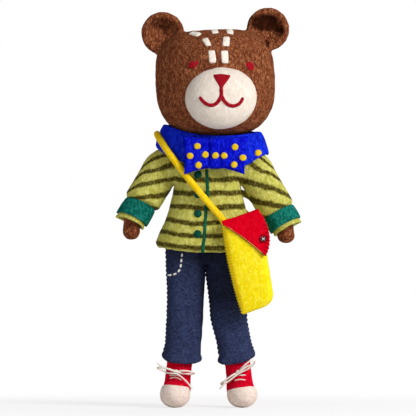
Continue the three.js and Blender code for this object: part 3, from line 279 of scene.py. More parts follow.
def plastic(name, base, light):
    """Hard button plastic with fine scuffs."""
    material = bpy.data.materials.new(name)
    tree = cleared_tree(material)
    scuff = ramp(tree, grain(tree, millimetres(tree), 0.5, 3.0, 1.0), 0.5, 0.75)
    shader = node(tree, "ShaderNodeBsdfPrincipled", {
        "Base Color": mixed(tree, times(tree, scuff, 0.35), colour(*base), colour(*light)),
        "Roughness": ramp(tree, scuff, 0.0, 1.0, 0.18, 0.4),
    })
    node(tree, "ShaderNodeOutputMaterial", {"Surface": shader.outputs[0]})
    return material


# The wool, its shaded patches and its lightest fibres; then how strong fibres and patches are, and their size
FELTS = {
    "bear_wool": ((114, 57, 34), (56, 24, 12), (208, 138, 94), 0.75, 0.62, 0.72, (1, 1, 0.42), painted_hollow_shade),
    "cream_wool": ((228, 216, 203), (196, 180, 164), (250, 244, 236), 0.4, 0.4),
    "red_wool": ((160, 18, 34), (104, 8, 20), (206, 58, 66), 0.35, 0.5, 0.7),
    "dash_wool": ((236, 226, 214), (206, 192, 176), (252, 247, 240), 0.4, 0.35),
    "jacket_felt": ((196, 192, 86), (126, 118, 30), (236, 234, 166), 0.55, 0.5, 1.0, UPRIGHT, striped),
    "teal_felt": ((16, 114, 100), (3, 54, 46), (64, 168, 152), 0.5, 0.75, 0.8),
    "placket_wool": ((24, 98, 72), (8, 50, 34), (74, 142, 108), 0.45, 0.7, 0.7),
    "blue_felt": ((10, 13, 204), (4, 5, 112), (48, 76, 246), 0.45, 0.6),
    "collar_felt": ((14, 34, 214), (4, 9, 116), (58, 100, 250), 0.45, 0.6),
    "dot_felt": ((230, 192, 22), (196, 144, 10), (250, 228, 100), 0.35, 0.45, 0.6),
    "denim_felt": ((50, 58, 92), (24, 26, 42), (92, 106, 150), 0.45, 0.6, 0.6, (0.7, 0.7, 1.1), shadowed),
    "shoe_felt": ((222, 3, 38), (156, 0, 24), (242, 54, 82), 0.4, 0.55, 0.9, (1.3, 1.3, 0.35)),
    "toe_felt": ((235, 216, 204), (200, 176, 162), (250, 240, 232), 0.5, 0.5, 1.0, LEVEL),
    "lace_cord": ((246, 240, 230), (214, 202, 188), (255, 253, 250), 0.4, 0.4, 0.3),
    "bag_felt": ((243, 224, 16), (222, 186, 2), (253, 243, 110), 0.45, 0.5),
    "flap_felt": ((218, 0, 28), (160, 0, 16), (240, 40, 64), 0.35, 0.4),
    "strap_cord": ((248, 212, 18), (222, 164, 4), (254, 240, 96), 0.45, 0.5),
    "button_wool": ((16, 80, 66), (5, 44, 36), (52, 132, 112), 0.35, 0.6, 0.6),
    "white_thread": ((250, 245, 235), (222, 212, 196), (255, 253, 249), 0.3, 0.4, 0.3),
    "yellow_thread": ((250, 216, 20), (224, 172, 4), (254, 238, 90), 0.4, 0.5, 0.3),
    "red_thread": ((190, 0, 26), (130, 0, 14), (226, 36, 58), 0.4, 0.5, 0.3),
    "maroon_thread": ((112, 2, 16), (70, 0, 8), (160, 24, 40), 0.4, 0.5, 0.3),
    "brown_thread": ((112, 70, 26), (66, 34, 10), (170, 128, 66), 0.4, 0.5, 0.3),
    "straw_thread": ((206, 178, 92), (150, 118, 44), (238, 220, 160), 0.4, 0.5, 0.3),
}
MATERIALS = {name: felt(name, *row) for name, row in FELTS.items()}
MATERIALS["catch_button"] = plastic("catch_button", (40, 30, 32), (110, 104, 104))

# Mesh helpers. A form is a pair: points in the figure's millimetres, and faces.


def bend(value, power):
    return np.sign(value) * np.abs(value) ** (2 / power)


def turn_angles(count):
    return np.linspace(0, 2 * np.pi, count, endpoint=False)


def ring(centre, across, half_across, along, half_along, power, count):
    """A closed superellipse of points in the plane of two directions."""
    u = np.outer(half_across * bend(np.cos(turn_angles(count)), power), across)
    v = np.outer(half_along * bend(np.sin(turn_angles(count)), power), along)
    return np.asarray(centre, float) + u + v


def circle(centre, across, along, radius, count=60):
    return ring(centre, across, radius, along, radius, 2, count)


def skin(rings, closed=False):
    """Rings skinned in order. An open run gets a middle point at each end, a closed one joins up."""
    rows, count = len(rings), len(rings[0])
    points = np.concatenate(rings)
    faces = []
    for row in range(rows if closed else rows - 1):
        here, there = row * count, ((row + 1) % rows) * count
        for k in range(count):
            n = (k + 1) % count
            faces.append((here + k, here + n, there + n, there + k))
    if not closed:
        start, top = len(points), (rows - 1) * count
        points = np.concatenate([points, [rings[0].mean(0), rings[-1].mean(0)]])
        for k in range(count):
            n = (k + 1) % count
            faces.append((start, n, k))
            faces.append((start + 1, top + k, top + n))
    return points, faces


def joined(*forms):
    points, faces, start = [], [], 0
    for form_points, form_faces in forms:
        points.append(form_points)
        faces += [tuple(i + start for i in face) for face in form_faces]
        start += len(form_points)
    return np.concatenate(points), faces


def smooth_path(points, step):
    """Points about a step apart on a smooth curve through the given ones."""
    points = np.asarray(points, float)
    padded = np.concatenate([[2 * points[0] - points[1]], points, [2 * points[-1] - points[-2]]])
    t = np.linspace(0, 1, 24, endpoint=False)[:, None]
    fine = []
    for k in range(len(points) - 1):
        a, b, c, d = padded[k:k + 4]
        square = (2 * a - 5 * b + 4 * c - d) * t ** 2
        fine.append(0.5 * (2 * b + (c - a) * t + square + (3 * b - a - 3 * c + d) * t ** 3))
    fine = np.concatenate([*fine, points[-1:]])
    reach = np.concatenate([[0], np.cumsum(np.linalg.norm(np.diff(fine, axis=0), axis=1))])
    places = np.linspace(0, reach[-1], max(2, int(round(reach[-1] / step)) + 1))
    return np.stack([np.interp(places, reach, fine[:, k]) for k in range(fine.shape[1])], axis=1)


def tube(path, radius, sides, flat=1.0):
    """A tube along a path with rounded ends; flat under 1 presses it from the front."""
    path = np.asarray(path, float)
    ahead = np.gradient(path, axis=0)
    ahead /= np.linalg.norm(ahead, axis=1)[:, None]
    angles = turn_angles(sides)[:, None]
    rings = []
    for point, way in zip(path, ahead):
        up = way * way[1] - DEEP
        if np.linalg.norm(up) < 0.1:
            up = ACROSS - way * way[0]
        up /= np.linalg.norm(up)
        rings.append(point + radius * (np.cos(angles) * np.cross(way, up) + flat * np.sin(angles) * up))
    first, last = rings[0] - path[0], rings[-1] - path[-1]
    for far, wide in ((0.5, 0.85), (0.85, 0.5)):
        rings.insert(0, path[0] - ahead[0] * radius * far + first * wide)
        rings.append(path[-1] + ahead[-1] * radius * far + last * wide)
    return skin(rings)


def ovoid_scale(points, half, top_power, bottom_power):
    """How far out each point is, as a share of the way to the surface of a rounded body."""
    flat = np.hypot(points[:, 0] / half[0], points[:, 1] / half[1])
    height = np.abs(points[:, 2]) / half[2]
    power = np.where(points[:, 2] > 0, top_power, bottom_power)
    return np.maximum(flat ** power + height ** power, 1e-12) ** (1 / power)


def ovoid(half, top_power, bottom_power, columns, rows):
    """A rounded body whose upper and lower halves have their own squareness."""
    rings = []
    for tilt in np.linspace(-np.pi / 2, np.pi / 2, rows + 2)[1:-1]:
        power = top_power if tilt > 0 else bottom_power
        r, h = bend(np.cos(tilt), power), bend(np.sin(tilt), power)
        rings.append(ring(UP * half[2] * h, ACROSS, half[0] * r, DEEP, half[1] * r, 2, columns))
    return skin(rings)


def mesh_of(name, form):
    points, faces = form
    mesh = bpy.data.meshes.new(name)
    mesh.from_pydata(to_row(points).tolist(), [], faces)
    mesh.validate()
    return mesh


def places_of(mesh, what="co"):
    flat = np.empty(len(mesh.vertices) * 3)
    mesh.vertices.foreach_get(what, flat)
    return flat.reshape(-1, 3)


def points_of(mesh):
    return places_of(mesh) / MM - FIGURE_SHIFT


def union(form, voxel, rounds):
    """Crossing solids felted into one skin, with the creases between them rounded."""
    mesh = mesh_of("crossing", form)
    crossing = new_object("crossing", mesh)
    remesh = crossing.modifiers.new("felting", "REMESH")
    remesh.mode = "VOXEL"
    remesh.voxel_size = voxel * MM
    crossing.modifiers.new("rounding", "SMOOTH").iterations = rounds
    made = bpy.data.meshes.new_from_object(crossing.evaluated_get(bpy.context.evaluated_depsgraph_get()))
    points, faces = points_of(made), [tuple(p.vertices) for p in made.polygons]
    bpy.data.objects.remove(crossing)
    bpy.data.meshes.remove(mesh)
    bpy.data.meshes.remove(made)
    return points, faces


def faced_out(mesh):
    """Turns a closed mesh's faces outward."""
    mesh.calc_loop_triangles()
    points = places_of(mesh)
    corners = np.array([t.vertices for t in mesh.loop_triangles])
    a, b, c = (points[corners[:, k]] for k in range(3))
    if (a * np.cross(b, c)).sum() < 0:
        mesh.flip_normals()


def add(name, form, wool, lumps=None, seed=1, body=None, nodes=()):
    """A closed felt piece, pushed in and out by soft lumps of a height and a size.

    It rides on a body, and stands for the CAD nodes given or for the one of its own name, if there is one.
    """
    mesh = mesh_of(name, form)
    faced_out(mesh)
    if lumps:
        height, size = np.array(lumps) * MM
        points, normals = places_of(mesh), places_of(mesh, "normal")
        start = Vector((seed * 7.3, seed * 3.1, seed * 5.7))
        swell = [noise.noise(Vector(p) / size + start) + 0.5 * noise.noise(Vector(p) / (0.4 * size) - start)
                 for p in points]
        points += normals * (np.array(swell) * height)[:, None]
        mesh.vertices.foreach_set("co", points.ravel())
    mesh.polygons.foreach_set("use_smooth", [True] * len(mesh.polygons))
    mesh.update()
    mesh.materials.append(MATERIALS[wool])
    made = new_object(f"{name}_felt", mesh)
    if body:
        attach(made, body)
    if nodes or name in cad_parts:
        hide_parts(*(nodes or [name]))
    return made


def set_values(made, name, values):
    attribute = made.data.attributes.new(name, "FLOAT", "POINT")
    attribute.data.foreach_set("value", np.full(len(made.data.vertices), values, np.float32))


def tree_of(made):
    mesh = made.data
    return BVHTree.FromPolygons(points_of(mesh).tolist(), [tuple(p.vertices) for p in mesh.polygons])


REACH = 400.0
PAD_ROWS = 9
PAD_SINK = 0.5
DISC_COUNT = 28
DISC_ROUGHNESS = 0.09
# A felted line's section: shares of its half-width and of its thickness, between its two sunk edges
LINE_ACROSS = np.array([-1, -1, -0.8, -0.4, 0, 0.4, 0.8, 1, 1])
LINE_HEIGHTS = [0.15, 0.6, 0.92, 1, 0.92, 0.6, 0.15]


def laid(tree, place, way=DEEP):
    """Where a line through the place along a way first meets a surface, and the surface's direction there."""
    hit, normal, _, _ = tree.ray_cast(Vector(place) - Vector(way) * REACH, Vector(way))
    if hit is None:
        hit, normal, _, _ = tree.find_nearest(Vector(place))
    return np.array(hit), np.array(normal)


def pad_on(tree, outline, thickness, way=DEEP):
    """A domed felt patch: an outline round its middle, laid on a surface along a way."""
    outline = np.asarray(outline, float)
    middle = outline.mean(0)
    shares = np.linspace(0.06, 1, PAD_ROWS)
    lifts = thickness * (1 - shares ** 3.5) ** 0.6
    lifts[-1] -= 0.25 * PAD_SINK
    rings = []
    for share, lift in zip([*shares, 0.9], [*lifts, -PAD_SINK]):
        hits = [laid(tree, point, way) for point in middle + (outline - middle) * share]
        rings.append(np.array([hit + normal * lift for hit, normal in hits]))
    return skin(rings)


def disc(x, z, radius, seed):
    """A hand-cut round, a little uneven."""
    points = []
    for angle in turn_angles(DISC_COUNT):
        c, s = math.cos(angle), math.sin(angle)
        wobble = radius * (1 + DISC_ROUGHNESS * noise.noise(Vector((1.3 * c, 1.3 * s, 3.7 * seed))))
        points.append((x + wobble * c, 0, z + wobble * s))
    return points


def line_on(tree, path, width, thickness, sink=0.4, taper=True):
    """A felted line of a width, laid along a path on a surface."""
    hits = [laid(tree, point) for point in np.asarray(path, float)]
    ahead = np.gradient(np.array([hit for hit, _ in hits]), axis=0)
    heights = np.array([-sink, *LINE_HEIGHTS, -sink]) * thickness
    rings = []
    for k, (centre, up) in enumerate(hits):
        side = np.cross(ahead[k], up)
        side /= np.linalg.norm(side)
        edge = min(k, len(hits) - 1 - k) / 3
        size = 1 if not taper or edge >= 1 else 0.45 + 0.55 * math.sqrt(max(0, 1 - (1 - edge) ** 2))
        rings.append(centre + np.outer(LINE_ACROSS * size * width / 2, side) + np.outer(heights, up))
    return skin(rings)


def pixel_path(points, ahead, step=0.8, closed=False):
    """A smooth line through places in the photograph, so far ahead of the figure's middle."""
    places = [from_pixel(px, py, ahead) for px, py in points]
    path = smooth_path([*places, places[0]], step)[:-1] if closed else smooth_path(places, step)
    return [(x, 0, z) for x, z in path]


# Cords: the strap follows the part's own route, and the laces theirs, with rounder loops

STRAP_DIAMETER = 5.6
STRAP_ROUTE = [
    [15.5, -28.4, 150.5], [10, -28.4, 158], [3.5, -28.5, 165.5], [-3, -28.6, 173.3], [-9.5, -27, 181.2],
    [-15.5, -25, 188.6], [-20.5, -24.6, 194.8], [-25.5, -24.8, 201.5], [-30.5, -22.6, 208.2],
    [-35.3, -17.8, 215], [-39.3, -10.8, 221.4], [-41.5, -2.5, 225.2], [-41.2, 6, 225.2],
    [-39.4, 14.6, 221.6], [-36.2, 23, 217.3], [-31, 30.4, 213.4], [-22, 30, 207], [-13, 28.4, 199.5],
    [-4, 27.2, 191.5], [5, 26.6, 183.5], [14, 25, 175.5], [23.5, 21.8, 167.5], [30.9, 16.8, 160.5],
    [37.1, 9.2, 155.5], [39.3, 1, 152.8], [39.4, -7, 152.4], [40.2, -16, 153.6], [40.4, -22.5, 155.4],
    [40.4, -28.4, 158.4],
]
LACE_DIAMETER = 1.5
# Each lace end leaves the knot, goes round its loop and back over the knot to its tail.
LACE_ROUTES = {
    "right": [
        [[-26.1, -13.2, 29.8], [-31, -15, 31.6], [-36.6, -15.7, 32.8], [-40, -14.3, 33], [-41.3, -11.4, 32.6],
         [-40, -8.8, 31.8], [-37.3, -8.3, 30.6], [-34.8, -10.4, 29.3], [-32.4, -13.2, 28.4],
         [-28.8, -14.9, 28.3], [-25.4, -15.2, 27.8], [-22, -14.8, 25.6], [-18.6, -14.8, 22.6],
         [-15.2, -15.2, 18.8], [-12.9, -16.2, 15.8]],
        [[-25.6, -13.4, 29.5], [-21, -15.4, 30.4], [-16.4, -15.9, 30.1], [-12.8, -14.8, 29.3],
         [-10.8, -12.2, 28.5], [-11.3, -9.2, 27.9], [-13.8, -7.9, 27.6], [-16.7, -9.4, 27.6],
         [-19.6, -12.4, 27.9], [-23.4, -15, 28.9], [-29, -16.4, 30.6], [-34.5, -16, 32.6],
         [-38.6, -15.4, 34.6], [-40.8, -15, 36.2]],
    ],
    "left": [
        [[25.7, -13.4, 29.4], [28.8, -16.6, 33.2], [32.4, -18.9, 36.6], [35.6, -19.3, 38.8],
         [38.2, -17.8, 39], [38.9, -15.4, 37.4], [37.2, -13.8, 34.7], [34, -13.6, 32.4], [30.2, -14.6, 30.4],
         [26.4, -15.6, 28.6], [22.4, -16.2, 25.6], [17.8, -16.4, 22], [13.6, -16, 19.2], [10.4, -15.8, 15.8]],
        [[25.4, -13.4, 29.2], [21.6, -15.4, 27.4], [17.2, -15.9, 24.5], [13.5, -14.9, 21.6],
         [11.3, -12.4, 20], [11.3, -9.4, 19.2], [13.5, -7.6, 19.4], [16.4, -8.8, 21], [18.8, -11.8, 22.8],
         [21.8, -14.6, 25.4], [25.4, -16.4, 28.6], [29.4, -17.4, 32], [33.4, -17.6, 34.4], [36.6, -18, 35]],
    ],
}


def make_strap():
    path = smooth_path(STRAP_ROUTE, 1.5)
    strap = add("strap", tube(path, STRAP_DIAMETER / 2, 20), "strap_cord", (0.22, 4.0), 3, "torso")
    row = to_row(path)
    return path


def make_laces(side_name):
    for number, route in enumerate(LACE_ROUTES[side_name], 1):
        path = smooth_path(route, 0.7)
        lace = add(f"{side_name}_lace_{number}", tube(path, LACE_DIAMETER / 2, 10), "lace_cord", (0.06, 1.2),
                   number, f"{side_name}_leg", nodes=[f"{side_name}_lace"])
        row = to_row(path)


make_camera()
strap_path = make_strap()
for side_name, _ in SIDES:
    make_laces(side_name)

# Head

HEAD_PLACE = np.array([6.5, 0.0, 267.0])
HEAD_HALF = np.array([49.4, 44.0, 45.0])
CROWN_POWER = 3.4
JAW_POWER = 2.5
HEAD_TURN = np.array(turning(5, "Z") @ turning(-2.4, "Y"))
EAR_RADIUS = 17.8
EAR_PLACE = (43.7, 0.0, 43.2)
EAR_SHIFT = np.array([1.7, 0.0, 0.5])
EAR_BACK = 8.5
EAR_RIM = 5.0
EAR_DISH = 7.0
# Painted shade in the ears' bowls: side, strength, then its middle and spread as shares of the ear's radius
EAR_SHADE_SPOTS = [
    (-1, 0.6, (-0.1, 0.5), (0.62, 0.34)), (-1, 0.5, (0.2, 0.1), (0.3, 0.3)),
    (1, 1.0, (-0.15, 0.32), (0.82, 0.46)), (1, 0.6, (0.55, -0.15), (0.3, 0.3)),
    (1, 0.9, (-0.08, -0.7), (0.16, 0.26)),
]
MUZZLE_HALF = (29.5, 26.0, 22.5)
MUZZLE_PLACE = (1.0, -34.0, -11.6)
MUZZLE_POWER = 2.3


def on_head(form):
    """A form drawn about the head's middle, rolled and turned as the head is."""
    points, faces = form
    return points @ HEAD_TURN.T + HEAD_PLACE, faces


def ear_form(side):
    radius, rim, lip = EAR_RADIUS, EAR_RIM, -0.8 * EAR_RIM
    profile = [
        [0.6, EAR_BACK], [0.45 * radius, 0.9 * EAR_BACK], [0.8 * radius, 0.55 * EAR_BACK],
        [0.97 * radius, 0.1 * EAR_BACK], [radius, -0.3 * rim], [radius - 0.12 * rim, -0.75 * rim],
        [radius - rim / 2, -rim], [radius - rim, lip], [0.55 * radius, lip + 0.5 * EAR_DISH],
        [0.3 * radius, lip + 0.8 * EAR_DISH], [0.6, lip + 0.9 * EAR_DISH],
    ]
    points, faces = skin([circle(DEEP * y, ACROSS, UP, r, 72) for r, y in smooth_path(profile, 1.0)])
    return points + np.array(EAR_PLACE) * (side, 1, 1) + EAR_SHIFT, faces


def ear_shade(points):
    """How strong the painted shade is in the bowls of the ears."""
    local = (points - HEAD_PLACE) @ HEAD_TURN - EAR_SHIFT
    shade = np.zeros(len(local))
    for side, strength, middle, spread in EAR_SHADE_SPOTS:
        u = ((local[:, 0] - side * EAR_PLACE[0]) / EAR_RADIUS - middle[0]) / spread[0]
        v = ((local[:, 2] - EAR_PLACE[2]) / EAR_RADIUS - middle[1]) / spread[1]
        shade += strength * np.exp(-(u ** 2 + v ** 2) ** 1.5) * (local[:, 1] < EAR_BACK / 3)
    return shade


def make_head():
    forms = [ovoid(HEAD_HALF, CROWN_POWER, JAW_POWER, 160, 90), ear_form(-1), ear_form(1)]
    head = add("head", union(on_head(joined(*forms)), 1.1, 6), "bear_wool", (0.36, 5.0), 11, "head",
               ["head", "right_ear", "left_ear"])
    # Painted shade in the ears' bowls, carried by the mesh's hollow value
    set_values(head, "hollow", ear_shade(points_of(head.data)))
    return head


def make_muzzle():
    points, faces = ovoid(MUZZLE_HALF, MUZZLE_POWER, 2.0, 110, 70)
    turned = points[:, [0, 2, 1]] * (1, -1, 1) + MUZZLE_PLACE
    return add("muzzle", on_head((turned, faces)), "cream_wool", (0.25, 5.0), 12, "head")


NOSE_OUTLINE = [
    (213, 74.6), (216.6, 74), (221.4, 73.6), (226, 74.2), (230.6, 75.2), (229.4, 78), (226.8, 82),
    (224.2, 85.4), (222.4, 88.8), (220.4, 88.8), (218.4, 85.2), (215.8, 81), (213.8, 77.4),
]
MOUTH_LINES = [
    [(221.2, 87), (221.3, 91), (221.2, 95.4), (219.2, 100), (215.8, 103.8), (211.6, 105.3), (206.6, 104),
     (202.4, 100.6), (199.8, 96.8)],
    [(221.6, 95), (223.6, 100), (227.6, 104.2), (232.8, 105.9), (238, 104.4), (241.4, 101), (243, 97.4)],
]
MOUTH_WIDTH = 3.0
FACE_AHEAD = 44
MUZZLE_AHEAD = 56
EYE_GROWTH = 1.1
EYES = {
    "right": [(189.2, 63), (191.6, 61.8), (194.2, 61.9), (197, 60.6), (197.4, 64.2), (195.4, 66.2),
              (194.4, 68.4), (192.2, 67.4), (190.2, 68.2), (188.8, 65.8)],
    "left": [(247.2, 62.2), (250, 61.8), (252.4, 63.2), (253.8, 66.4), (252.8, 69.4), (250.4, 70.2),
             (247.8, 67.8), (246.2, 64.6)],
}
# Forehead dashes as four corners in the photograph
FOREHEAD_DASHES = [
    [(207.9, 50.3), (214.8, 49.9), (216.6, 62.9), (209.4, 63.3)],
    [(220.4, 50.5), (228.1, 50.1), (228.7, 63.7), (221.8, 63.3)],
    [(201.3, 39.1), (207.6, 37), (211.8, 45.5), (206.3, 46.3)],
    [(222.9, 36.3), (230, 36.3), (229.5, 46.3), (222.3, 45.9)],
]
# Crown dashes as middle and turn, seen from above the head
CROWN_DASHES = [(-17.2, -24, -34), (-0.9, -24, 0), (11.6, -24, 4)]
DASH_HALF = (2.9, 6.0)
APPLIQUE = 1.2


def soft_corners(corners, soft=0.2):
    """An outline through corners in the photograph, each drawn round."""
    places = [np.array(corner) for corner in corners]
    points = []
    for before, corner, after in zip(places[-1:] + places[:-1], places, places[1:] + places[:1]):
        points.append(corner + (before - corner) * soft)
        points.append((before + after) * 0.05 + corner * 0.9)
        points.append(corner + (after - corner) * soft)
    return pixel_path(points, FACE_AHEAD, 0.7, closed=True)


def make_face(head, muzzle):
    skin_tree, muzzle_tree = tree_of(head), tree_of(muzzle)

    def stick(name, form, wool, seed):
        add(name, form, wool, (0.08, 1.5), seed, "head")

    nose = pixel_path(NOSE_OUTLINE, MUZZLE_AHEAD, closed=True)
    stick("nose", pad_on(muzzle_tree, nose, APPLIQUE), "red_wool", 21)
    paths = [pixel_path(points, MUZZLE_AHEAD) for points in MOUTH_LINES]
    lines = [line_on(muzzle_tree, path, MOUTH_WIDTH, APPLIQUE) for path in paths]
    stick("mouth", joined(*lines), "red_wool", 22)
    for side_name, points in EYES.items():
        outline = np.array(pixel_path(points, FACE_AHEAD, 0.5, closed=True))
        middle = outline.mean(0)
        form = pad_on(skin_tree, middle + (outline - middle) * EYE_GROWTH, APPLIQUE)
        stick(f"{side_name}_eye", form, "red_wool", 23)
    for number, corners in enumerate(FOREHEAD_DASHES, 1):
        stick(f"forehead_dash_{number}", pad_on(skin_tree, soft_corners(corners), APPLIQUE), "dash_wool", 24)
    for number, (x, y, turn) in enumerate(CROWN_DASHES, len(FOREHEAD_DASHES) + 1):
        c, s = slope(turn)
        local = ring((x, y, HEAD_HALF[2]), (c, -s, 0), DASH_HALF[0], (s, c, 0), DASH_HALF[1], 5, 30)
        outline, _ = on_head((local, []))
        form = pad_on(skin_tree, outline, APPLIQUE, -HEAD_TURN[:, 2])
        stick(f"forehead_dash_{number}", form, "dash_wool", 25)


make_face(make_head(), make_muzzle())

# Jacket

BODY_POWER = 2.3
# Height, half-width and half-depth from the hem to the neck
BODY_SECTIONS = [
    (127.4, 40.6, 29.4), (131.7, 42.6, 31), (136, 42.2, 30.6), (148.5, 37.6, 28.1), (161, 32.6, 25.2),
    (184, 27.4, 22.4), (199.5, 27.4, 20.2), (207.4, 25.2, 19.1), (215.4, 17, 15.5),
]
BODY_LINE = smooth_path(BODY_SECTIONS, 1.5)
# How far the hem lifts at the sides, by height; the stripes lift with it and further up
HEM_RISE = ((127.4, 131.7, 136, 148.5), (4.5, 3.6, 2.25, 0))
STRIPE_RISE = ((127.4, 141, 152, 164, 176, 190, 205), (4.5, 4.5, 4, 2, 1.2, 1.6, 0))
FELT = 2.4
GAP = 0.35
JACKET_CAP = 135.5
SHOULDER_Z = 199.5
SHOULDER_RADIUS = 16.25
SHOULDER_SPREAD = 27.4
NECK = (4.0, 12.0, 226.0)
TORSO_BOTTOM = 136.4
TORSO_INSET = 0.6
# Heights of the stripes on the body, and of those on each sleeve with their slopes at a set distance out
STRIPE_HEIGHTS = [119.5, 131.5, 141.4, 152.2, 164.6, 176.2, 187.7, 199.3, 211]
SLEEVE_STRIPE_X = 47.6
SLEEVE_STRIPES = {
    "right": ([152, 164.3, 174.2, 185.1, 195.9, 204.2, 215], [-0.2, -0.15, 0.13, 0.23, 0.15, 0.31, 0.3]),
    "left": ([146, 157, 168.5, 181.9, 193.9, 203.3, 214], [0.1, 0.2, 0.2, 0.29, 0.3, 0.7, 0.8]),
}
STRIPE_DROOP = {"right": 6.0, "left": 3.5}
BETWEEN_STRIPES = 0.5


def stripe_count(levels, heights):
    return np.interp(levels, heights, range(len(heights)))


def body_ring(section, grow):
    z, wide, deep = section
    points = ring(UP * z, ACROSS, wide + grow, DEEP, deep + grow, BODY_POWER, 120)
    points[:, 2] += np.interp(z, *HEM_RISE) * (points[:, 0] / (wide + grow)) ** 2
    return points


def make_jacket():
    outside = [body_ring(section, 0) for section in BODY_LINE[::-1]]
    lining = [body_ring(section, -FELT) for section in BODY_LINE if section[0] < JACKET_CAP]
    bar = [circle((x, 0, SHOULDER_Z), DEEP, UP, SHOULDER_RADIUS)
           for x in np.linspace(-SHOULDER_SPREAD, SHOULDER_SPREAD, 40)]
    form = union(joined(skin([*outside, *lining]), skin(bar)), 1.2, 5)
    jacket = add("jacket", form, "jacket_felt", (0.35, 7.0), 31, "torso")
    x, _, z = points_of(jacket.data).T
    wide = np.interp(z, BODY_LINE[:, 0], BODY_LINE[:, 1])
    levels = z - np.interp(z, *STRIPE_RISE) * np.minimum(1, np.abs(x) / wide) ** 2
    set_values(jacket, "stripe", stripe_count(levels, STRIPE_HEIGHTS))
    return jacket


def make_torso():
    x, radius, top = NECK
    neck = [circle((x, 0, z), ACROSS, DEEP, radius) for z in np.linspace(SHOULDER_Z, top, 14)]
    trunk = [body_ring(section, -FELT - TORSO_INSET) for section in BODY_LINE if section[0] >= TORSO_BOTTOM]
    form = union(joined(skin(trunk), skin(neck)), 1.6, 3)
    add("torso", form, "bear_wool", (0.2, 6.0), 32, "torso")


PLACKET = [(206.8, 170), (206.9, 178), (207.6, 190), (206.6, 202), (205.6, 216), (205, 226), (204.2, 238),
           (203.2, 246), (202.8, 252.2)]
PLACKET_WIDTH = 2.8
PLACKET_FELT = 0.8
BUTTONS = [(197.9, 174.5), (197.8, 194.4), (197.8, 213.6), (197.6, 234)]
BUTTON_RADIUS = 3.3
BUTTON_DOME = 1.6
PLACKET_AHEAD = 26


def make_placket(jacket):
    tree = tree_of(jacket)
    strip = line_on(tree, pixel_path(PLACKET, PLACKET_AHEAD), PLACKET_WIDTH, PLACKET_FELT, taper=False)
    add("placket", strip, "placket_wool", (0.25, 2.0), 33, "torso")
    for number, (px, py) in enumerate(BUTTONS, 1):
        outline = disc(*from_pixel(px, py, PLACKET_AHEAD), BUTTON_RADIUS, number)
        form = pad_on(tree, outline, BUTTON_DOME)
        add(f"jacket_button_{number}", form, "button_wool", (0.15, 1.5), 34, "torso")


# Sleeves, cuffs and arms

SLEEVE_RADIUS = 16.6
SLEEVE_HALF_DEPTH = 15.5
SLEEVE_HALF_WIDTH = 15.2
SLEEVE_POWER = 2.2
SLEEVE_ROOT = 5.0
SLEEVE_RIM = 3.2
RIM_SWELL = 1.4
LINING_DEPTH = 14
ARMPIT_RADIUS = 1.0
CUFF_HALF_WIDTH = 12.2
CUFF_TUCK = 6.0
CUFF_FELT = 1.5
CUFF_SWELL = 0.4
LIFT_REACH = 12.0
WRIST_RADIUS = 5.4
HAND_INSET = 2.2
HAND_HALF_WIDTH = 7.2
# Each sleeve's tilt and length, its cuff's height and half-width at the top, how far the cuff is pulled up in
# front and slips down outside, and the hand's length
SLEEVES = {
    "right": (31.0, 45.0, 14.5, 11.4, 3.4, 1.3, 19.0),
    "left": (30.0, 50.0, 12.5, 12.0, 2.3, 0.2, 15.6),
}
# Two distances out from the shoulder; bend_at_shoulder works out places from them but does not use them
SHOULDER_BEND = (-3, 9)


def shoulder_half(share):
    """The sleeve's half-width at a share of its bend round the armpit."""
    return SLEEVE_RADIUS - (SLEEVE_RADIUS - SLEEVE_HALF_WIDTH) * share ** 2


class SleeveLine:
    """The line that a sleeve follows: round the armpit, then straight to the cuff."""

    def __init__(self, name, side):
        self.name = name
        self.side = side
        tilt, self.length, self.band, self.cuff_half, self.lift, self.skew, self.hand = SLEEVES[name]
        self.cuff_top = self.length - SLEEVE_RIM - GAP - self.band
        self.bend = math.radians(90 - tilt)
        armpit_z = SHOULDER_Z - SLEEVE_RADIUS - ARMPIT_RADIUS
        self.armpit = np.array([side * (SHOULDER_SPREAD + GAP), 0, armpit_z])
        self.along = np.array([side * math.cos(self.bend), 0, -math.sin(self.bend)])
        self.out = self.spoke(self.bend)

    def spoke(self, angle):
        return np.array([self.side * math.sin(angle), 0, math.cos(angle)])

    def half(self, distance):
        """The sleeve's half-width: even down to the cuff, gathered into it, and flaring a little in it."""
        if distance < self.cuff_top:
            tuck = max(0.0, 1 - (self.cuff_top - distance) / CUFF_TUCK)
            return SLEEVE_HALF_WIDTH - (SLEEVE_HALF_WIDTH - self.cuff_half) * tuck ** 2.4
        share = (distance - self.cuff_top) / (self.length - self.cuff_top)
        return self.cuff_half + (CUFF_HALF_WIDTH - self.cuff_half) * share

    def place(self, distance, inset=0.0):
        offset = ARMPIT_RADIUS + SLEEVE_HALF_WIDTH - inset
        return self.armpit + self.out * offset + self.along * distance

    def ring(self, distance, grow, count=84):
        half = self.half(distance) + grow
        points = ring(self.place(distance), self.out, half, DEEP, half, SLEEVE_POWER, count)
        front = np.maximum(0, -points[:, 1] / half)
        outer = (points - self.place(distance)) @ self.out / half
        near = np.clip(1 - (self.cuff_top - distance) / LIFT_REACH, 0, 1)
        return points + np.outer(near * (self.skew * outer - self.lift * front), self.along)

    def shoulder(self, grow, steps, count=84):
        rings = []
        for share in np.linspace(0, 1, steps, endpoint=False):
            spoke = self.spoke(self.bend * share)
            half = shoulder_half(share)
            centre = self.armpit + spoke * (ARMPIT_RADIUS + half)
            deep = SLEEVE_HALF_DEPTH + grow
            rings.append(ring(centre, spoke, half + grow, DEEP, deep, SLEEVE_POWER, count))
        return rings


SLEEVE_LINES = [SleeveLine(name, side) for name, side in SIDES]


def bend_at_shoulder(made, side_name, side):
    start, end = (to_row([side * (SHOULDER_SPREAD + out), 0, SHOULDER_Z]) for out in SHOULDER_BEND)
    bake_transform(made)


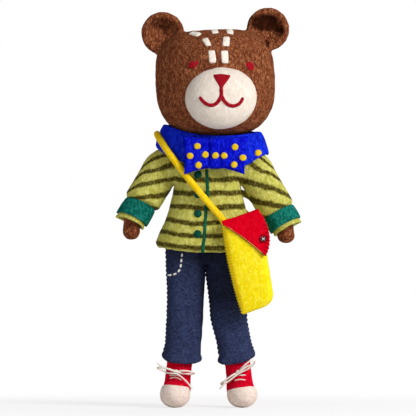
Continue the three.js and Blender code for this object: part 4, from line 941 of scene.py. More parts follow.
def make_sleeve(line):
    outside = line.shoulder(0, 14)
    root = [outside[0] - ACROSS * line.side * back for back in (SLEEVE_ROOT, SLEEVE_ROOT / 2)]
    rim_start = line.length - SLEEVE_RIM
    upper = [*root, *outside, *(line.ring(d, 0) for d in np.arange(0, rim_start, 1.6))]
    rim = []
    for angle in np.linspace(0, np.pi, 9):
        swell = RIM_SWELL * math.sin(min(angle, np.pi / 2)) - (FELT + RIM_SWELL) * (1 - math.cos(angle)) / 2
        rim.append(line.ring(rim_start + SLEEVE_RIM * math.sin(angle), swell))
    lining = [line.ring(d, -FELT) for d in np.linspace(rim_start - 1, line.length - LINING_DEPTH, 8)]
    form = skin([*upper, *rim, *lining])
    sleeve = add(f"{line.name}_sleeve", form, "jacket_felt", (0.4, 7.0), 41 + line.side)
    points = points_of(sleeve.data)
    x, _, z = points.T
    heights, slopes = SLEEVE_STRIPES[line.name]
    levels = z + np.interp(z, heights, slopes) * (np.abs(x) - SLEEVE_STRIPE_X)
    outer = (points - line.place(0)) @ line.out / SLEEVE_HALF_WIDTH
    levels += STRIPE_DROOP[line.name] * np.clip(2 * outer - 1, 0, 1) ** 3
    counts = stripe_count(levels, heights)
    counts[len(upper) * len(upper[0]):] = BETWEEN_STRIPES
    set_values(sleeve, "stripe", counts)
    bend_at_shoulder(sleeve, line.name, line.side)


def stadium(height, thickness, straight, arc=5):
    """The section of a felt strip with round edges: places along its height and across its felt."""
    radius = thickness / 2
    places = [(along, 0.0) for along in np.linspace(radius, height - radius, straight)]
    for angle in np.linspace(np.pi / 2, -np.pi / 2, arc + 2)[1:-1]:
        places.append((height - radius + radius * math.cos(angle), -radius + radius * math.sin(angle)))
    places += [(along, -thickness) for along in np.linspace(height - radius, radius, straight)]
    for angle in np.linspace(-np.pi / 2, -3 * np.pi / 2, arc + 2)[1:-1]:
        places.append((radius + radius * math.cos(angle), -radius + radius * math.sin(angle)))
    return places


def make_cuff(line):
    rings = []
    for along, across in stadium(line.band, CUFF_FELT, 9):
        swell = CUFF_SWELL * math.sin(np.pi * along / line.band)
        rings.append(line.ring(line.cuff_top + along, GAP + CUFF_FELT + across + swell))
    form = skin(rings, closed=True)
    add(f"{line.name}_cuff", form, "teal_felt", (0.18, 4.0), 51 + line.side, f"{line.name}_arm")


# Shares of the hand's length below the cuff and of its half-width there
HAND_PROFILE = [(-0.3, 0.84), (0.02, 0.93), (0.2, 1), (0.36, 0.96), (0.5, 0.78), (0.59, 0.52), (0.64, 0.16)]


def make_arm(line):
    fill = -FELT - 2 * GAP
    rings = line.shoulder(fill, 6, 60) + [line.ring(d, fill, 60) for d in np.linspace(0, line.cuff_top, 20)]
    mouth = line.place(line.length, HAND_INSET)
    wrist = mouth - line.along * (SLEEVE_RIM + line.hand / 3)
    rings.append(circle(wrist, line.out, DEEP, WRIST_RADIUS))
    for down, width in smooth_path(HAND_PROFILE, 0.04):
        rings.append(circle(mouth - UP * down * line.hand, ACROSS * line.side, DEEP, width * HAND_HALF_WIDTH))
    name = f"{line.name}_arm"
    add(name, skin(rings), "bear_wool", (0.22, 4.0), 61 + line.side, name)


# A felt gusset under the left arm, between the body and the sleeve, and its shade between two stripes
GUSSET = [(25, 7, 177.8), (29.5, 7.5, 176.6), (34.5, 7, 174.4), (37.5, 7, 171.5)]
GUSSET_RADIUS = 2.7
GUSSET_STRIPE = 0.76


def make_gusset():
    form = tube(smooth_path(GUSSET, 0.8), GUSSET_RADIUS, 16, flat=0.5)
    gusset = add("left_gusset", form, "jacket_felt", (0.2, 3.0), 65)
    set_values(gusset, "stripe", GUSSET_STRIPE)
    bend_at_shoulder(gusset, "left", 1)


jacket = make_jacket()
make_torso()
make_placket(jacket)
for line in SLEEVE_LINES:
    make_sleeve(line)
    make_cuff(line)
    make_arm(line)
make_gusset()

# Collar and bow tie

COLLAR_X = 4.0
COLLAR_FELT = 2.6
# Half-width, depth in front and depth behind of the collar's top edge and of its tip
COLLAR_TOP = (40.0, 25.0, 36.0)
COLLAR_TIP = (47.0, 27.5, 40.0)
COLLAR_TOP_Z = 231.0
COLLAR_TIP_Z = 212.0
COLLAR_FRONT_DIP = 6.0
COLLAR_WING_DROP = 14.0
COLLAR_WING_CURVE = 1.3
COLLAR_TILT = math.tan(math.radians(4.3))
COLLAR_ROLL = 1.2
COLLAR_COUNT = 200
# The felt's thickness as a share of the collar's height, for the rounding of its edges
COLLAR_THIN = 0.12
LINING_SHARE = 0.55
LINING_NECK = (12.6, 12.6, 12.6)
LINING_Z = 217.8
LINING_FELT = 1.2
HEAD_ROOM = np.array([1.6, 3.2, 1.6])
SLEEVE_SWINGS = (-35, -17, 0, 15, 30)
SLEEVE_ROOM = 1.0
SLEEVE_LIFT = 0.25
LIFT_TRIES = 60
LIFT_SPREAD = range(-3, 4)


def clear_of_head(points):
    """Pushes points out of the room that the head turns in."""
    local = (points - HEAD_PLACE) @ HEAD_TURN
    scale = np.minimum(ovoid_scale(local, HEAD_HALF + HEAD_ROOM, CROWN_POWER, JAW_POWER), 1)
    return (local / scale[:, None]) @ HEAD_TURN.T + HEAD_PLACE


def in_sleeves(points):
    """Which points are in the room that the shoulders and the swinging sleeves take."""
    x, deep, high = points[:, 0], points[:, 1], points[:, 2] - SHOULDER_Z
    found = (np.hypot(deep, high) < SHOULDER_RADIUS + SLEEVE_ROOM) & (np.abs(x) < SHOULDER_SPREAD)
    for line in SLEEVE_LINES:
        out = line.side * (x - line.armpit[0])
        for swing in SLEEVE_SWINGS:
            c, s = slope(swing)
            y, z = c * deep + s * high, c * high - s * deep + SHOULDER_Z - line.armpit[2]
            half = shoulder_half(np.clip(np.arctan2(out, z) / line.bend, 0, 1))
            across = np.hypot(out, z) - ARMPIT_RADIUS - half
            section = (np.abs(across) / (half + SLEEVE_ROOM)) ** SLEEVE_POWER
            section += (np.abs(y) / (SLEEVE_HALF_DEPTH + SLEEVE_ROOM)) ** SLEEVE_POWER
            found |= (out > 0) & (section < 1)
    return found


def clear_of_sleeves(points):
    """Lifts points over the sleeves, and their neighbours round the collar with them."""
    lift = np.zeros(len(points))
    for _ in range(LIFT_TRIES):
        lift[in_sleeves(points + np.outer(lift, UP))] += SLEEVE_LIFT
    rows = lift.reshape(-1, COLLAR_COUNT)
    for smooth in (np.max, np.mean):
        rows = smooth([np.roll(rows, k, axis=1) for k in LIFT_SPREAD], axis=0)
    return points + np.outer(rows.ravel(), UP)


def clear_of_strap(points):
    room = STRAP_DIAMETER / 2 + GAP
    for k, point in enumerate(points):
        near = np.linalg.norm(point - strap_path, axis=1).min()
        if near < room:
            inward = np.array([COLLAR_X, 0, point[2]]) - point
            points[k] = point + inward / np.linalg.norm(inward) * (room - near)
    return points


def collar_edge(angle, half_width, front, back, z):
    x, v = half_width * math.cos(angle), math.sin(angle)
    return np.array([COLLAR_X + x, (front if v < 0 else back) * v, z - COLLAR_TILT * x])


def collar_place(angle, share, across):
    """A place on the collar: a share of the way up from its tip to its top edge, across through its felt."""
    front = max(0.0, -math.sin(angle))
    low = COLLAR_TIP_Z - COLLAR_WING_DROP * front ** COLLAR_WING_CURVE
    high = COLLAR_TOP_Z - COLLAR_FRONT_DIP * front ** 2
    edges = collar_edge(angle, *COLLAR_TIP, low), collar_edge(angle, *COLLAR_TOP, high)
    out = np.array([math.cos(angle), math.sin(angle), 0.25])
    out /= np.linalg.norm(out)
    roll = COLLAR_ROLL * 4 * share * (1 - share)
    return between(edges, share) + out * (roll + across)


def collar_form(place, layers):
    """A ring of felt, from a function that gives places by angle and layer of its section."""
    rings = [np.array([place(angle, *layer) for angle in turn_angles(COLLAR_COUNT)]) for layer in layers]
    points, faces = skin(rings, closed=True)
    return clear_of_sleeves(clear_of_head(points)), faces


def make_collar():
    layers = [(share, across / COLLAR_THIN * COLLAR_FELT) for share, across in stadium(1.0, COLLAR_THIN, 20)]
    points, faces = collar_form(collar_place, layers)
    collar = add("collar", (clear_of_strap(points), faces), "collar_felt", (0.3, 6.0), 71, "torso")
    return collar


def lining_place(angle, share, layer):
    ends = collar_place(angle, LINING_SHARE, -COLLAR_FELT), collar_edge(angle, *LINING_NECK, LINING_Z)
    return between(ends, share) + UP * layer * LINING_FELT


def make_collar_lining():
    """The collar's felt inside, from the middle of its inner side to the neck."""
    shares = np.linspace(0, 1, 9)
    layers = [(share, 0.5) for share in shares] + [(share, -0.5) for share in shares[::-1]]
    form = collar_form(lining_place, layers)
    lining = add("collar_lining", form, "collar_felt", (0.1, 6.0), 72, "torso")


BOW_X = 6.3
BOW_Z = 209.6
BOW_BACK = -27.85
BOW_FELT = 6.0
BOW_EDGE = 6.0
# Each wing's reach at its lower and upper corner, and the bow's lower and upper edge at knot and corners
BOW_REACH = {-1: (25.7, 26.7), 1: (24.2, 27.6)}
BOW_LOWER = (198.0, 192.1)
BOW_UPPER = (222.0, 223.9)
BOW_CURVE = 1.5
BOW_AHEAD = 35
COLLAR_AHEAD = 20
KNOT_HALF = (5.2, 12.6)
KNOT_WAIST = 0.9
KNOT_PROUD = 1.4
KNOT_OVERLAP = 1.5
# Yellow dots on the bow in the photograph: the middle one first, then each wing's four
BOW_DOTS = [
    (215.4, 155.4), (197.4, 146.1), (190, 155.8), (205.3, 154.6), (198.5, 165.1), (235, 147), (224.2, 155.6),
    (242.8, 157.6), (234.2, 164.7),
]
COLLAR_DOT = (258.1, 152.8)
DOT_RADIUS = 2.8
DOT_DOME = 1.5


def pad(place, thickness, columns=44, rows=56):
    """A stuffed felt pad. place gives x and z from shares across and up; the face swells to the middle."""
    half = thickness / 2
    rings = []
    for v in np.linspace(-1, 1, rows):
        front, rear = [], []
        for u in np.linspace(-1, 1, columns):
            full = half * ((1 - abs(u) ** BOW_EDGE) * (1 - abs(v) ** BOW_EDGE)) ** 0.4
            x, z = place(u, v)
            front.append((x, BOW_BACK - half - full, z))
            rear.append((x, BOW_BACK - half + full, z))
        rings.append(np.array(front + rear[-2:0:-1]))
    return skin(rings)


def wing_place(side):
    def place(u, v):
        share, rise = (u + 1) / 2, (v + 1) / 2
        reach = between(BOW_REACH[side], rise)
        out = between((KNOT_HALF[0] - KNOT_OVERLAP, reach), share) - share * (1 - v * v)
        edges = between(BOW_LOWER, share ** BOW_CURVE), between(BOW_UPPER, share ** BOW_CURVE)
        return BOW_X + side * out, between(edges, rise)
    return place


def knot_place(u, v):
    return BOW_X + u * (KNOT_HALF[0] - KNOT_WAIST * (1 - v * v)), BOW_Z + v * KNOT_HALF[1]


def make_bow(collar):
    trees = {}
    for name, side in SIDES:
        form = pad(wing_place(side), BOW_FELT)
        trees[side] = tree_of(add(f"bow_{name}_wing", form, "blue_felt", (0.3, 5.0), 81 + side, "torso"))
    form = pad(knot_place, BOW_FELT + KNOT_PROUD, 30, 50)
    trees[0] = tree_of(add("bow_knot", form, "blue_felt", (0.25, 4.0), 84, "torso"))
    dots = []
    for number, (px, py) in enumerate(BOW_DOTS, 1):
        x, z = from_pixel(px, py, BOW_AHEAD)
        under = 0 if abs(x - BOW_X) < KNOT_HALF[0] - 1 else math.copysign(1, x - BOW_X)
        dots.append((f"bow_dot_{number}", x, z, trees[under]))
    dots.append(("collar_dot", *from_pixel(*COLLAR_DOT, COLLAR_AHEAD), tree_of(collar)))
    for number, (name, x, z, under) in enumerate(dots, 1):
        form = pad_on(under, disc(x, z, DOT_RADIUS, number), DOT_DOME)
        add(name, form, "dot_felt", (0.12, 1.4), 85, "torso")


collar = make_collar()
make_collar_lining()
make_bow(collar)

# Trousers

LEG_POWER = 2.8
LEG_COUNT = 108
LEG_BEND = (122, 98)
LEG_BEND_X = 20
LEG_TOP = 100
CORE_INSET = 0.8
SHOE_TOP = 46.0
SEAT = (118.0, 133.0, 33.0, 16.5)
# Painted shade on the seat under the jacket's hem
SEAT_SHADE = 0.8
# Height, inner edge, outer edge and half-depth of each leg from the waist to the hem
LEG_SECTIONS = {
    "right": [(132, -1.9, -34.7, 19.2), (120, -1.8, -34.6, 18.4), (110, -1.8, -34.2, 17.2),
              (105, -2.1, -33.8, 16.5), (90, -3, -33.4, 15.9), (70, -3.9, -34.2, 15.4),
              (57, -4.9, -34.7, 15.1), (48, -5.5, -35.8, 14.8), (43.5, -5.5, -36.9, 14.7)],
    "left": [(132, -1.7, 34.8, 19.2), (120, -1.8, 34.8, 18.4), (110, -1.8, 34.4, 17.2), (105, -1.2, 34, 16.5),
             (90, 1.1, 33, 15.9), (76, 2.3, 32.6, 15.5), (65, 4.4, 34.1, 15.3), (57, 7, 35.3, 15.1),
             (48, 8.7, 37.2, 14.8), (43.5, 9.3, 38.6, 14.7)],
}
HEM_ROLL = 5.0
HEM_SWELL = 0.9
HEM_FRONT_SAG = 3.4
HEM_SIDE_LIFT = 1.2
HEM_TILT = {"right": 1.0, "left": 2.6}
# The hem's sag sets in at this height, over so many millimetres
HEM_START = 62
HEM_FADE = 18
SCALLOP = 3.7
SCALLOP_DEPTH = 0.9
SCALLOPED = {"right": (1,), "left": (1, -1)}
# Painted shade: its share, where it sets in and over how far, at the waist, in the bag's shadow and on the
# outer side
WAIST_SHADE = (0.5, 96, 30)
BAG_SHADOW = (0.75, 68, 22)
SIDE_SHADE = (0.25, 26, 8)


def leg_ring(section, grow, side):
    z, inner, outer, depth = section
    half = abs(outer - inner) / 2 + grow
    middle = ((inner + outer) / 2, 0, z)
    return ring(middle, ACROSS * side, half, DEEP, depth + grow, LEG_POWER, LEG_COUNT)


def hem_drop(points, near, section, side_name, side):
    """Lets the hem sag at the front and hang lower on the inner side."""
    _, inner, outer, depth = section
    across = side * (points[:, 0] - (inner + outer) / 2) / (abs(outer - inner) / 2)
    front = np.clip(-points[:, 1] / depth, 0, 1)
    points[:, 2] += near * (HEM_SIDE_LIFT - HEM_FRONT_SAG * front ** 2 + HEM_TILT[side_name] * across)


# How much painted shade a place gets: none below the start, full share past the fade
def shade_share(value, share, start, fade):
    return share * np.clip((value - start) / fade, 0, 1)


def bend_at_hip(made, side):
    start, end = (to_row([side * LEG_BEND_X, 0, z]) for z in LEG_BEND)
    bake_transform(made)


def make_leg(side_name, side):
    sections = smooth_path(LEG_SECTIONS[side_name], 1.0)
    last = sections[-1]
    rings = [leg_ring(section, 0, side) for section in sections]
    for edge in SCALLOPED[side_name]:
        seam = np.exp(-((np.cos(turn_angles(LEG_COUNT)) * edge - 1) / 0.05) ** 2)
        for row in rings:
            wave = abs(math.sin(math.pi * row[0, 2] / SCALLOP)) - 0.6
            row[:, 0] += side * edge * seam * wave * SCALLOP_DEPTH
    for angle in np.linspace(0, np.pi, 12)[1:]:
        fall = last[0] - 1.0 - HEM_ROLL * (1 - math.cos(angle)) / 2
        out = HEM_SWELL * math.sin(angle) + (0 if angle < np.pi / 2 else -FELT * (1 - math.sin(angle)))
        rings.append(leg_ring((fall, *last[1:]), out, side))
    for z in np.linspace(last[0] - HEM_ROLL + 1, SHOE_TOP + 2, 8):
        rings.append(leg_ring((z, *last[1:]), -FELT, side))
    for k, row in enumerate(rings):
        near = np.clip((HEM_START - row[0, 2]) / HEM_FADE, 0, 1) if k < len(sections) else 1.0
        hem_drop(row, near, last, side_name, side)
    leg = add(f"{side_name}_trouser_leg", skin(rings), "denim_felt", (0.35, 7.0), 91 + side)
    x, _, z = points_of(leg.data).T
    # Painted shade: darker at the waist, in the bag's shadow on the left leg, and on the right leg's outer
    # side
    behind = shade_share(z, *BAG_SHADOW) if side > 0 else shade_share(-x, *SIDE_SHADE)
    set_values(leg, "deep", np.maximum(shade_share(z, *WAIST_SHADE), behind))
    bend_at_hip(leg, side)
    inside = [leg_ring(section, -FELT - CORE_INSET, side) for section in sections
              if SHOE_TOP + 3 < section[0] < LEG_TOP]
    name = f"{side_name}_leg"
    add(name, skin(inside), "bear_wool", (0.15, 6.0), 94 + side, name)
    return leg


def make_seat():
    low, high, half, depth = SEAT
    rings = [ring(UP * z, ACROSS, half, DEEP, depth, LEG_POWER, 90) for z in np.linspace(low, high, 16)]
    seat = add("trouser_seat", skin(rings), "denim_felt", (0.15, 6.0), 97, "torso")
    set_values(seat, "deep", SEAT_SHADE)


POCKET_LINE = [(182.2, 253), (181.4, 260), (180.6, 266.4), (179.2, 270.4), (176.4, 273.2), (172.6, 274.8),
               (167.6, 275.2)]
POCKET_AHEAD = 18
POCKET_STEP = 0.4
STITCH_LENGTH = 3.2
STITCH_STEP = 4.8
STITCH_WIDTH = 1.55
STITCH_HEIGHT = 0.8


def make_pocket(leg):
    tree = tree_of(leg)
    path = pixel_path(POCKET_LINE, POCKET_AHEAD, POCKET_STEP)
    step, long = int(STITCH_STEP / POCKET_STEP), int(STITCH_LENGTH / POCKET_STEP)
    stitches = [line_on(tree, path[k:k + long], STITCH_WIDTH, STITCH_HEIGHT, 1.2)
                for k in range(1, len(path) - long + 1, step)]
    bend_at_hip(add("pocket_stitches", joined(*stitches), "white_thread", (0.04, 1.0), 98), -1)


legs = {side_name: make_leg(side_name, side) for side_name, side in SIDES}
make_seat()
make_pocket(legs["right"])

# Shoes

SHOE_X = {"right": -25.2, "left": 27.0}
SHOE_COUNT = 72
TOE_OUT = 5.0
ANKLE_HALF = 10.6
ANKLE_DEEP = 10.4
ANKLE_LEAN = 5.2
ANKLE_SHIFT = 2.0
SHOE_POWER = 2.3
HEEL_BACK = 16.0
HEEL_ROUNDING = 1.2
HEEL_NARROW = 6.0
HEEL_Z = 12.0
HEEL_FLARE = 0.8
INSTEP_Z = 24.0
SOLE = 0.3
# The arch narrows towards the sole: heights and shares of its width
ARCH_WIDTHS = ((0, 3, 8), (0.42, 0.62, 1))
TOE_FRONT = 33.0
TOE_HALF = np.array([12.5, 15.5, 12.4])
TOE_MIDDLE = np.array([0, -17.5, 10.6])
TOE_POWER = 2.1
TOE_UNDER = 0.85
CAP_SLOPE = 8.0
CAP_BACK = 3.0
CAP_REAR = 8.0
CAP_REAR_SLOPE = 75.0
# Height of the toe seam in front and its rise to the outer side, in degrees
CAP_SEAM = {"right": (19.2, 4.0), "left": (17.4, 7.0)}
CAP_LIFT = 0.45
CAP_FLOOR = 0.05
# Height, half-width and reach forward and back of the ankle's sections
ANKLE_STATIONS = [
    (SOLE, ANKLE_HALF - HEEL_NARROW, HEEL_BACK - 5, HEEL_BACK - HEEL_ROUNDING),
    (2.4, ANKLE_HALF - 3.6, HEEL_BACK - 2, HEEL_BACK),
    (HEEL_Z, ANKLE_HALF + HEEL_FLARE, HEEL_BACK, HEEL_BACK - HEEL_ROUNDING),
    (INSTEP_Z, ANKLE_HALF, ANKLE_DEEP + HEEL_ROUNDING, ANKLE_DEEP + HEEL_ROUNDING),
    (SHOE_TOP, ANKLE_HALF, ANKLE_DEEP, ANKLE_DEEP),
]


def rounded_under(points):
    """Draws a toe's lower half up, so that it stands on the floor on a rounded sole."""
    low = np.minimum(points[:, 2] - TOE_MIDDLE[2], 0)
    points[:, 2] -= low * (1 - TOE_UNDER)
    return points


def on_shoe(points, side_name, side):
    return points @ np.array(turning(side * TOE_OUT, "Z")).T + ACROSS * SHOE_X[side_name]


def shoe_station(side, z, wide, front, back):
    middle = (side * (ANKLE_SHIFT - ANKLE_LEAN * z / SHOE_TOP), (back - front) / 2, z)
    return ring(middle, ACROSS, wide, DEEP, (front + back) / 2, SHOE_POWER, SHOE_COUNT)


def make_shoe(side_name, side):
    ankle = skin([shoe_station(side, *station) for station in smooth_path(ANKLE_STATIONS, 1.2)])
    toe_points, toe_faces = ovoid(TOE_HALF - CAP_LIFT, TOE_POWER, TOE_POWER, SHOE_COUNT, 40)
    arch_half = (TOE_HALF[0] - HEEL_ROUNDING, -TOE_MIDDLE[1], INSTEP_Z)
    arch_points, arch_faces = ovoid(arch_half, 2, 2, SHOE_COUNT, 40)
    arch_points[:, :2] *= np.interp(arch_points[:, 2], *ARCH_WIDTHS)[:, None]
    arch = arch_points + DEEP * TOE_MIDDLE[1] / 3, arch_faces
    points, faces = joined(ankle, (rounded_under(toe_points + TOE_MIDDLE), toe_faces), arch)
    points[:, 2] = np.maximum(points[:, 2], SOLE)
    form = union((on_shoe(points, side_name, side), faces), 0.9, 4)
    return add(f"{side_name}_shoe_upper", form, "shoe_felt", (0.2, 4.0), 101 + side, f"{side_name}_leg")


def make_cap(side_name, side):
    """The toe cap: the ball in front of and under the toe seam."""
    top, rise = CAP_SEAM[side_name]
    under = -np.array(turning(-CAP_SLOPE, "X") @ turning(-side * rise, "Y"))[:, 2]
    ahead = -np.array(turning(-CAP_REAR_SLOPE, "X"))[:, 2]
    seam, back = np.array([0, CAP_BACK - TOE_FRONT, top]), np.array([0, -CAP_REAR, top])
    axis = (under + ahead) / np.linalg.norm(under + ahead)
    angles = turn_angles(96)[:, None]
    around = np.cos(angles) * ACROSS + np.sin(angles) * np.cross(axis, ACROSS)

    def surface(polar):
        ways = np.cos(polar)[:, None] * axis + np.sin(polar)[:, None] * around
        return ways / ovoid_scale(ways, TOE_HALF, TOE_POWER, TOE_POWER)[:, None] + TOE_MIDDLE

    low, high = np.zeros(len(angles)), np.full(len(angles), np.pi)
    for _ in range(30):
        trial = (low + high) / 2
        places = surface(trial)
        inside = ((places - seam) @ under > 0) & ((places - back) @ ahead > 0)
        low, high = np.where(inside, trial, low), np.where(inside, high, trial)
    rings = [surface(low * share) for share in np.linspace(0.03, 1, 34)]
    edge = rings[-1] - TOE_MIDDLE
    rings += [TOE_MIDDLE + edge * shrink for shrink in (0.97, 0.9, 0.6, 0.2)]
    points, faces = skin(rings)
    points[:, 2] = np.maximum(rounded_under(points)[:, 2], CAP_FLOOR)
    form = on_shoe(points, side_name, side), faces
    add(f"{side_name}_toe_cap", form, "toe_felt", (0.18, 4.0), 104 + side, f"{side_name}_leg")


# Lace rows sewn across each instep, in the photograph, and the knots' places
LACE_ROWS = {
    "right": [[(170, 375.8), (174, 375.2), (179.6, 375.6)], [(169.8, 378.6), (175.4, 377.6), (181.4, 380.4)]],
    "left": [[(240, 371), (244.8, 370.2)], [(238.4, 375.4), (245.6, 375.2)],
             [(234.4, 380.8), (240, 379.6), (245.4, 380.4)]],
}
LACE_AHEAD = 14
LACE_WIDTH = 1.2
LACE_HEIGHT = 0.8
LACE_KNOTS = {"right": (-26, -13.8, 29.5), "left": (25.6, -13.9, 29.2)}
LACE_KNOT_HALF = (2.2, 1.9, 1.8)
LACE_KNOT_POWER = 2.2


def make_lace_rows(side_name, upper):
    tree = tree_of(upper)
    paths = [pixel_path(points, LACE_AHEAD, 0.6) for points in LACE_ROWS[side_name]]
    rows = [line_on(tree, path, LACE_WIDTH, LACE_HEIGHT, 0.5) for path in paths]
    knot_points, knot_faces = ovoid(LACE_KNOT_HALF, LACE_KNOT_POWER, LACE_KNOT_POWER, 24, 14)
    form = joined(*rows, (knot_points + LACE_KNOTS[side_name], knot_faces))
    add(f"{side_name}_lace_rows", form, "lace_cord", (0.12, 1.2), 107, f"{side_name}_leg")


for side_name, side in SIDES:
    upper = make_shoe(side_name, side)
    make_cap(side_name, side)
    make_lace_rows(side_name, upper)

# Bag

BAG_BACK_Y = -31.8
BAG_FELT = 2.2
BAG_ROOM = 6.2
BAG_TOP_WIDTH = 32.0
BAG_TOP_SLOPE = 21.0
BAG_SIDE = 75.0
BAG_LEAN = 12.7
BAG_BOTTOM_WIDTH = 27.0
BAG_BOTTOM_SLOPE = 20.0
BAG_CORNER = 9.0
BAG_BULGE = 4.0
BAG_SWELL = 0.8
BAG_FRONT_Y = BAG_BACK_Y - 1.3 * BAG_FELT + 0.4 - GAP
# How square the front's depth is across the bag and down it
BAG_SIDE_POWER = 7
BAG_LOW_POWER = 9
FLAP_FELT = 2.0
FLAP_OVERHANG = (5.0, -37.1)
FLAP_CORNER = (13.8, -20.3)
FLAP_SAG = 4.0
FLAP_FOLD = 0.3
FLAP_LIFT = 2.2
FLAP_CURVE = 1.5
FLAP_HANG = 1.5
FLAP_PRESS = 0.9
FOLD_DROP = 1.2
FLAP_TOP = GAP + FLAP_FELT / 2
FLAP_BACK = BAG_BACK_Y - 0.4
FLAP_FACE = BAG_BACK_Y - BAG_ROOM - 2 * (BAG_FELT + GAP) - FLAP_FELT / 2
MOUTH_WAY = slope(BAG_TOP_SLOPE)
MOUTH_RISE = slope(BAG_TOP_SLOPE + 90)
BAG_TOP_LEFT = np.array([12.7, 150.5])
BAG_TOP_RIGHT = BAG_TOP_LEFT + MOUTH_WAY * BAG_TOP_WIDTH
BAG_LOW_LEFT = BAG_TOP_LEFT + slope(BAG_LEAN - 90) * BAG_SIDE
BAG_LOW_RIGHT = BAG_LOW_LEFT + slope(BAG_BOTTOM_SLOPE) * BAG_BOTTOM_WIDTH
BINDING_RADIUS = 1.2
BINDING_RISE = 1.0


def bag_place(u, v):
    """A place on the bag's panel: u across from the inner side, v down from the mouth."""
    corner_u, corner_v = BAG_CORNER / BAG_BOTTOM_WIDTH, BAG_CORNER / BAG_SIDE
    s, t = max(0.0, u - 1 + corner_u) / corner_u, max(0.0, v - 1 + corner_v) / corner_v
    if s > 0 and t > 0:
        u = 1 - corner_u + corner_u * s * math.sqrt(1 - t * t / 2)
        v = 1 - corner_v + corner_v * t * math.sqrt(1 - s * s / 2)
    left = between((BAG_TOP_LEFT, BAG_LOW_LEFT), v) - np.array([BAG_BULGE * 2 * v * (1 - v), 0])
    return between((left, between((BAG_TOP_RIGHT, BAG_LOW_RIGHT), v)), u)


def bag_front_place(u, v):
    x, z = bag_place(u, v)
    z += FLAP_LIFT / 2 * max(0.0, 1 - 3 * u) * max(0.0, 1 - 12 * v)
    side = (1 - abs(2 * u - 1) ** BAG_SIDE_POWER) ** 0.5
    low = (1 - v ** BAG_LOW_POWER) ** 0.5
    swell = BAG_SWELL * math.sin(math.pi * u) * math.sin(math.pi * v)
    return np.array([x, BAG_FRONT_Y - ((BAG_ROOM + BAG_FELT / 2) * side + swell) * low, z])


def bag_back_place(u, v):
    x, z = bag_place(u, v)
    return np.array([x, BAG_BACK_Y - BAG_FELT / 2, z])


def flap_place(u, v):
    """A place on the flap: u along the bag's mouth, v from the back over the fold to the slanted edge."""
    turn = min(1.0, v / FLAP_FOLD) * math.pi / 2
    lift = MOUTH_RISE * FLAP_LIFT * (1 - u) ** FLAP_CURVE * math.sin(turn) ** 3
    top = BAG_TOP_LEFT + MOUTH_WAY * BAG_TOP_WIDTH * u + MOUTH_RISE * FLAP_TOP + lift
    top = top - MOUTH_RISE * FOLD_DROP * (1 - math.cos(turn)) ** 2
    if v < FLAP_FOLD:
        return np.array([top[0], between((FLAP_BACK, FLAP_FACE), math.sin(turn)), top[1]])
    share = (v - FLAP_FOLD) / (1 - FLAP_FOLD)
    end = BAG_TOP_RIGHT + MOUTH_RISE * (FLAP_TOP - FOLD_DROP)
    low = BAG_TOP_LEFT - MOUTH_RISE * FLAP_HANG
    tip, corner = BAG_TOP_RIGHT + FLAP_OVERHANG, BAG_TOP_RIGHT + FLAP_CORNER
    edge = between((low, tip), u) + np.array([0, FLAP_SAG * 2 * u * (1 - u)]) + lift
    side = end * (1 - share) ** 2 + corner * 2 * share * (1 - share) + tip * share ** 2
    x, z = between((top, edge), share) + (side - between((end, tip), share)) * u ** FLAP_CURVE
    return np.array([x, FLAP_FACE - FLAP_PRESS * u * share ** 2, z])


def felt_panel(place, thickness, columns, rows):
    """A felt sheet with round edges. place gives a point from shares across and down."""
    grid = np.array([[place(u, v) for u in np.linspace(0, 1, columns)] for v in np.linspace(0, 1, rows)])
    normals = np.cross(np.gradient(grid, axis=1), np.gradient(grid, axis=0))
    normals /= np.maximum(np.linalg.norm(normals, axis=2), 1e-9)[:, :, None]
    half = np.full((rows, columns, 1), thickness / 2)
    half[[0, -1]] *= 0.4
    half[:, [0, -1]] *= 0.5
    front, rear = grid - normals * half, grid + normals * half
    return skin([np.concatenate([f, r[::-1]]) for f, r in zip(front, rear)])


def make_sheet(name, place, thickness, wool, body, seed, counts):
    made = add(name, felt_panel(place, thickness, *counts), wool, (0.22, 6.0), seed, body)
    return made


def sewn(name, routes, radius, wool, body, seed):
    """Thread sewn along short routes."""
    forms = [tube(smooth_path(route, 0.5), radius, 8) for route in routes]
    add(name, joined(*forms), wool, (0.04, 1.0), seed, body)


def make_bag():
    make_sheet("bag_front", bag_front_place, BAG_FELT, "bag_felt", "bag", 111,
               (70, 110))
    make_sheet("bag_back", bag_back_place, BAG_FELT, "bag_felt", "bag", 112,
               (60, 100))
    routes = []
    for v in np.arange(0.05, 0.985, 0.031):
        spots = [(u, bag_front_place(u, v + 0.1 * u)) for u in np.linspace(0, 0.1, 5)]
        routes.append([spot + (9 * u - 1, -1.35, 0) for u, spot in spots])
    sewn("bag_seam", routes, 0.55, "yellow_thread", "bag", 114)


def make_bag_binding():
    """A felt roll along the back of the bag's mouth, on which the flap turns."""
    route = []
    for u in np.linspace(0.03, 0.97, 14):
        x, z = BAG_TOP_LEFT + MOUTH_WAY * BAG_TOP_WIDTH * u + MOUTH_RISE * BINDING_RISE
        route.append((x, BAG_BACK_Y - BINDING_RADIUS, z))
    sewn("bag_binding", [route], BINDING_RADIUS, "bag_felt", "bag", 120)


# A stitch over the flap's outer edge: shares along the mouth, and how far out and back it goes
FLAP_STITCH = ((0.93, 0, -1.1), (0.98, 0.1, -1.15), (1.0, 0.25, -0.2), (0.98, 0.1, 1.0))


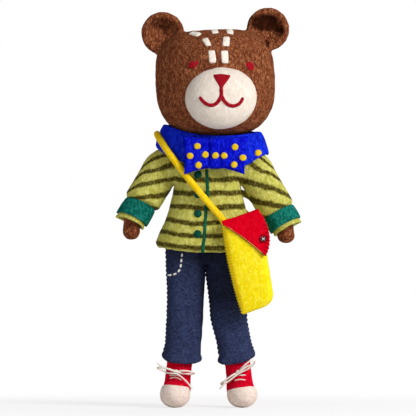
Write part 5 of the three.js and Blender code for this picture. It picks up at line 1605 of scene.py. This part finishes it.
def make_flap():
    flap = make_sheet("bag_flap", flap_place, FLAP_FELT, "flap_felt", "flap", 113,
                      (60, 90))
    edge = np.array([flap_place(u, 1.0) for u in np.linspace(0.02, 0.97, 40)])
    sewn("flap_binding", [edge + (-0.2, 0.35, -0.3)], 0.45, "brown_thread", "flap", 115)
    sewn("flap_piping", [edge + (0.0, -0.6, 0.15)], 0.3, "straw_thread", "flap", 116)
    routes = [[flap_place(u, v) + (out, deep, 0) for u, out, deep in FLAP_STITCH]
              for v in np.linspace(0.5, 0.985, 9)]
    sewn("flap_stitches", routes, 0.45, "red_thread", "flap", 117)
    return flap


CATCH_RADIUS = 2.3
CATCH_HEIGHT = 1.8
CATCH_PLACE = (3.1, -22.6)
CATCH_SEAM = 3.3
CATCH_THREAD = 0.8
# Shares of the button's radius and height, from the middle of its dished face to its back
CATCH_PROFILE = [(0.3, 0.55), (0.5, 0.5), (0.7, 0.62), (0.86, 0.86), (0.96, 0.8), (1, 0.5), (0.98, 0.15),
                 (0.9, 0)]


def make_catch(flap):
    tree = tree_of(flap)
    x, z = BAG_TOP_RIGHT + CATCH_PLACE
    hit, _ = laid(tree, (x, 0, z))
    rings = [circle((x, hit[1] - h * CATCH_HEIGHT, z), ACROSS, UP, r * CATCH_RADIUS, 40)
             for r, h in smooth_path(CATCH_PROFILE, 0.06)]
    add("flap_button", skin(rings), "catch_button", body="flap")
    # White thread sewn across the button, laid as a six-pointed star that also stands in for the button's
    # glint: a painted highlight
    front = np.array([x, hit[1] - CATCH_HEIGHT * 0.75, z])
    ways = [np.array(way) * CATCH_THREAD for way in ((1, 0, 1), (1, 0, -1), (1, 0, 0.1))]
    routes = [[front - way, front + way] for way in ways]
    sewn("flap_button_thread", routes, 0.22, "white_thread", "flap", 118)
    around = [(x + CATCH_SEAM * math.cos(a), 0, z + CATCH_SEAM * math.sin(a)) for a in np.linspace(0, 6, 30)]
    seam = [laid(tree, point)[0] - DEEP * 0.1 for point in around]
    sewn("flap_button_seam", [seam], 0.3, "maroon_thread", "flap", 119)


make_bag()
make_bag_binding()
make_catch(make_flap())

# Stage and light

FLOOR_HALF = 6.0
SHADOW_NEAR = 0.12
SHADOW_FAR = 0.45
SHADOW_GLOW = 0.72
PAPER = (0.82, 0.82, 0.82, 1)
WHITE = (1, 1, 1, 1)
WORLD_LIGHT = 0.38
FIGURE_MIDDLE = (0, 0, 0.17)


def seen_plainly(tree):
    """1 for what the camera sees, directly or in a gloss."""
    path = node(tree, "ShaderNodeLightPath")
    seen = highest(tree, path.outputs["Is Camera Ray"], path.outputs["Is Glossy Ray"])
    return highest(tree, seen, path.outputs["Is Transmission Ray"])


def make_floor():
    mesh = bpy.data.meshes.new("floor")
    corners = [(x * FLOOR_HALF, y * FLOOR_HALF, 0) for x, y in ((-1, -1), (1, -1), (1, 1), (-1, 1))]
    mesh.from_pydata(corners, [], [(0, 1, 2, 3)])
    material = bpy.data.materials.new("pale_floor")
    tree = cleared_tree(material)
    place = node(tree, "ShaderNodeTexCoord").outputs["Object"]
    far = node(tree, "ShaderNodeVectorMath", {0: place}, operation="LENGTH").outputs["Value"]
    white = times(tree, seen_plainly(tree), ramp(tree, far, SHADOW_NEAR, SHADOW_FAR, SHADOW_GLOW, 1.0))
    paper = node(tree, "ShaderNodeBsdfDiffuse", {"Color": PAPER})
    glow = node(tree, "ShaderNodeEmission", {"Color": WHITE, "Strength": 1.0})
    mix = node(tree, "ShaderNodeMixShader", {0: white, 1: paper.outputs[0], 2: glow.outputs[0]})
    node(tree, "ShaderNodeOutputMaterial", {"Surface": mix.outputs[0]})
    mesh.materials.append(material)
    new_object("floor", mesh)


def make_world():
    world = bpy.data.worlds.new("studio")
    bpy.context.scene.world = world
    tree = cleared_tree(world)
    strength = ramp(tree, seen_plainly(tree), 0.0, 1.0, WORLD_LIGHT, 1.0)
    back = node(tree, "ShaderNodeBackground", {"Color": WHITE, "Strength": strength})
    node(tree, "ShaderNodeOutputWorld", {"Surface": back.outputs[0]})


make_floor()
make_world()
area_light("key", (1.35, -1.25, 1.1), FIGURE_MIDDLE, 0.8, 38)
area_light("fill", (-1.3, -1.5, 0.5), FIGURE_MIDDLE, 1.2, 4)
area_light("back", (0.5, 1.4, 1.1), FIGURE_MIDDLE, 1.0, 7)
bpy.context.scene.view_settings.view_transform = "Standard"
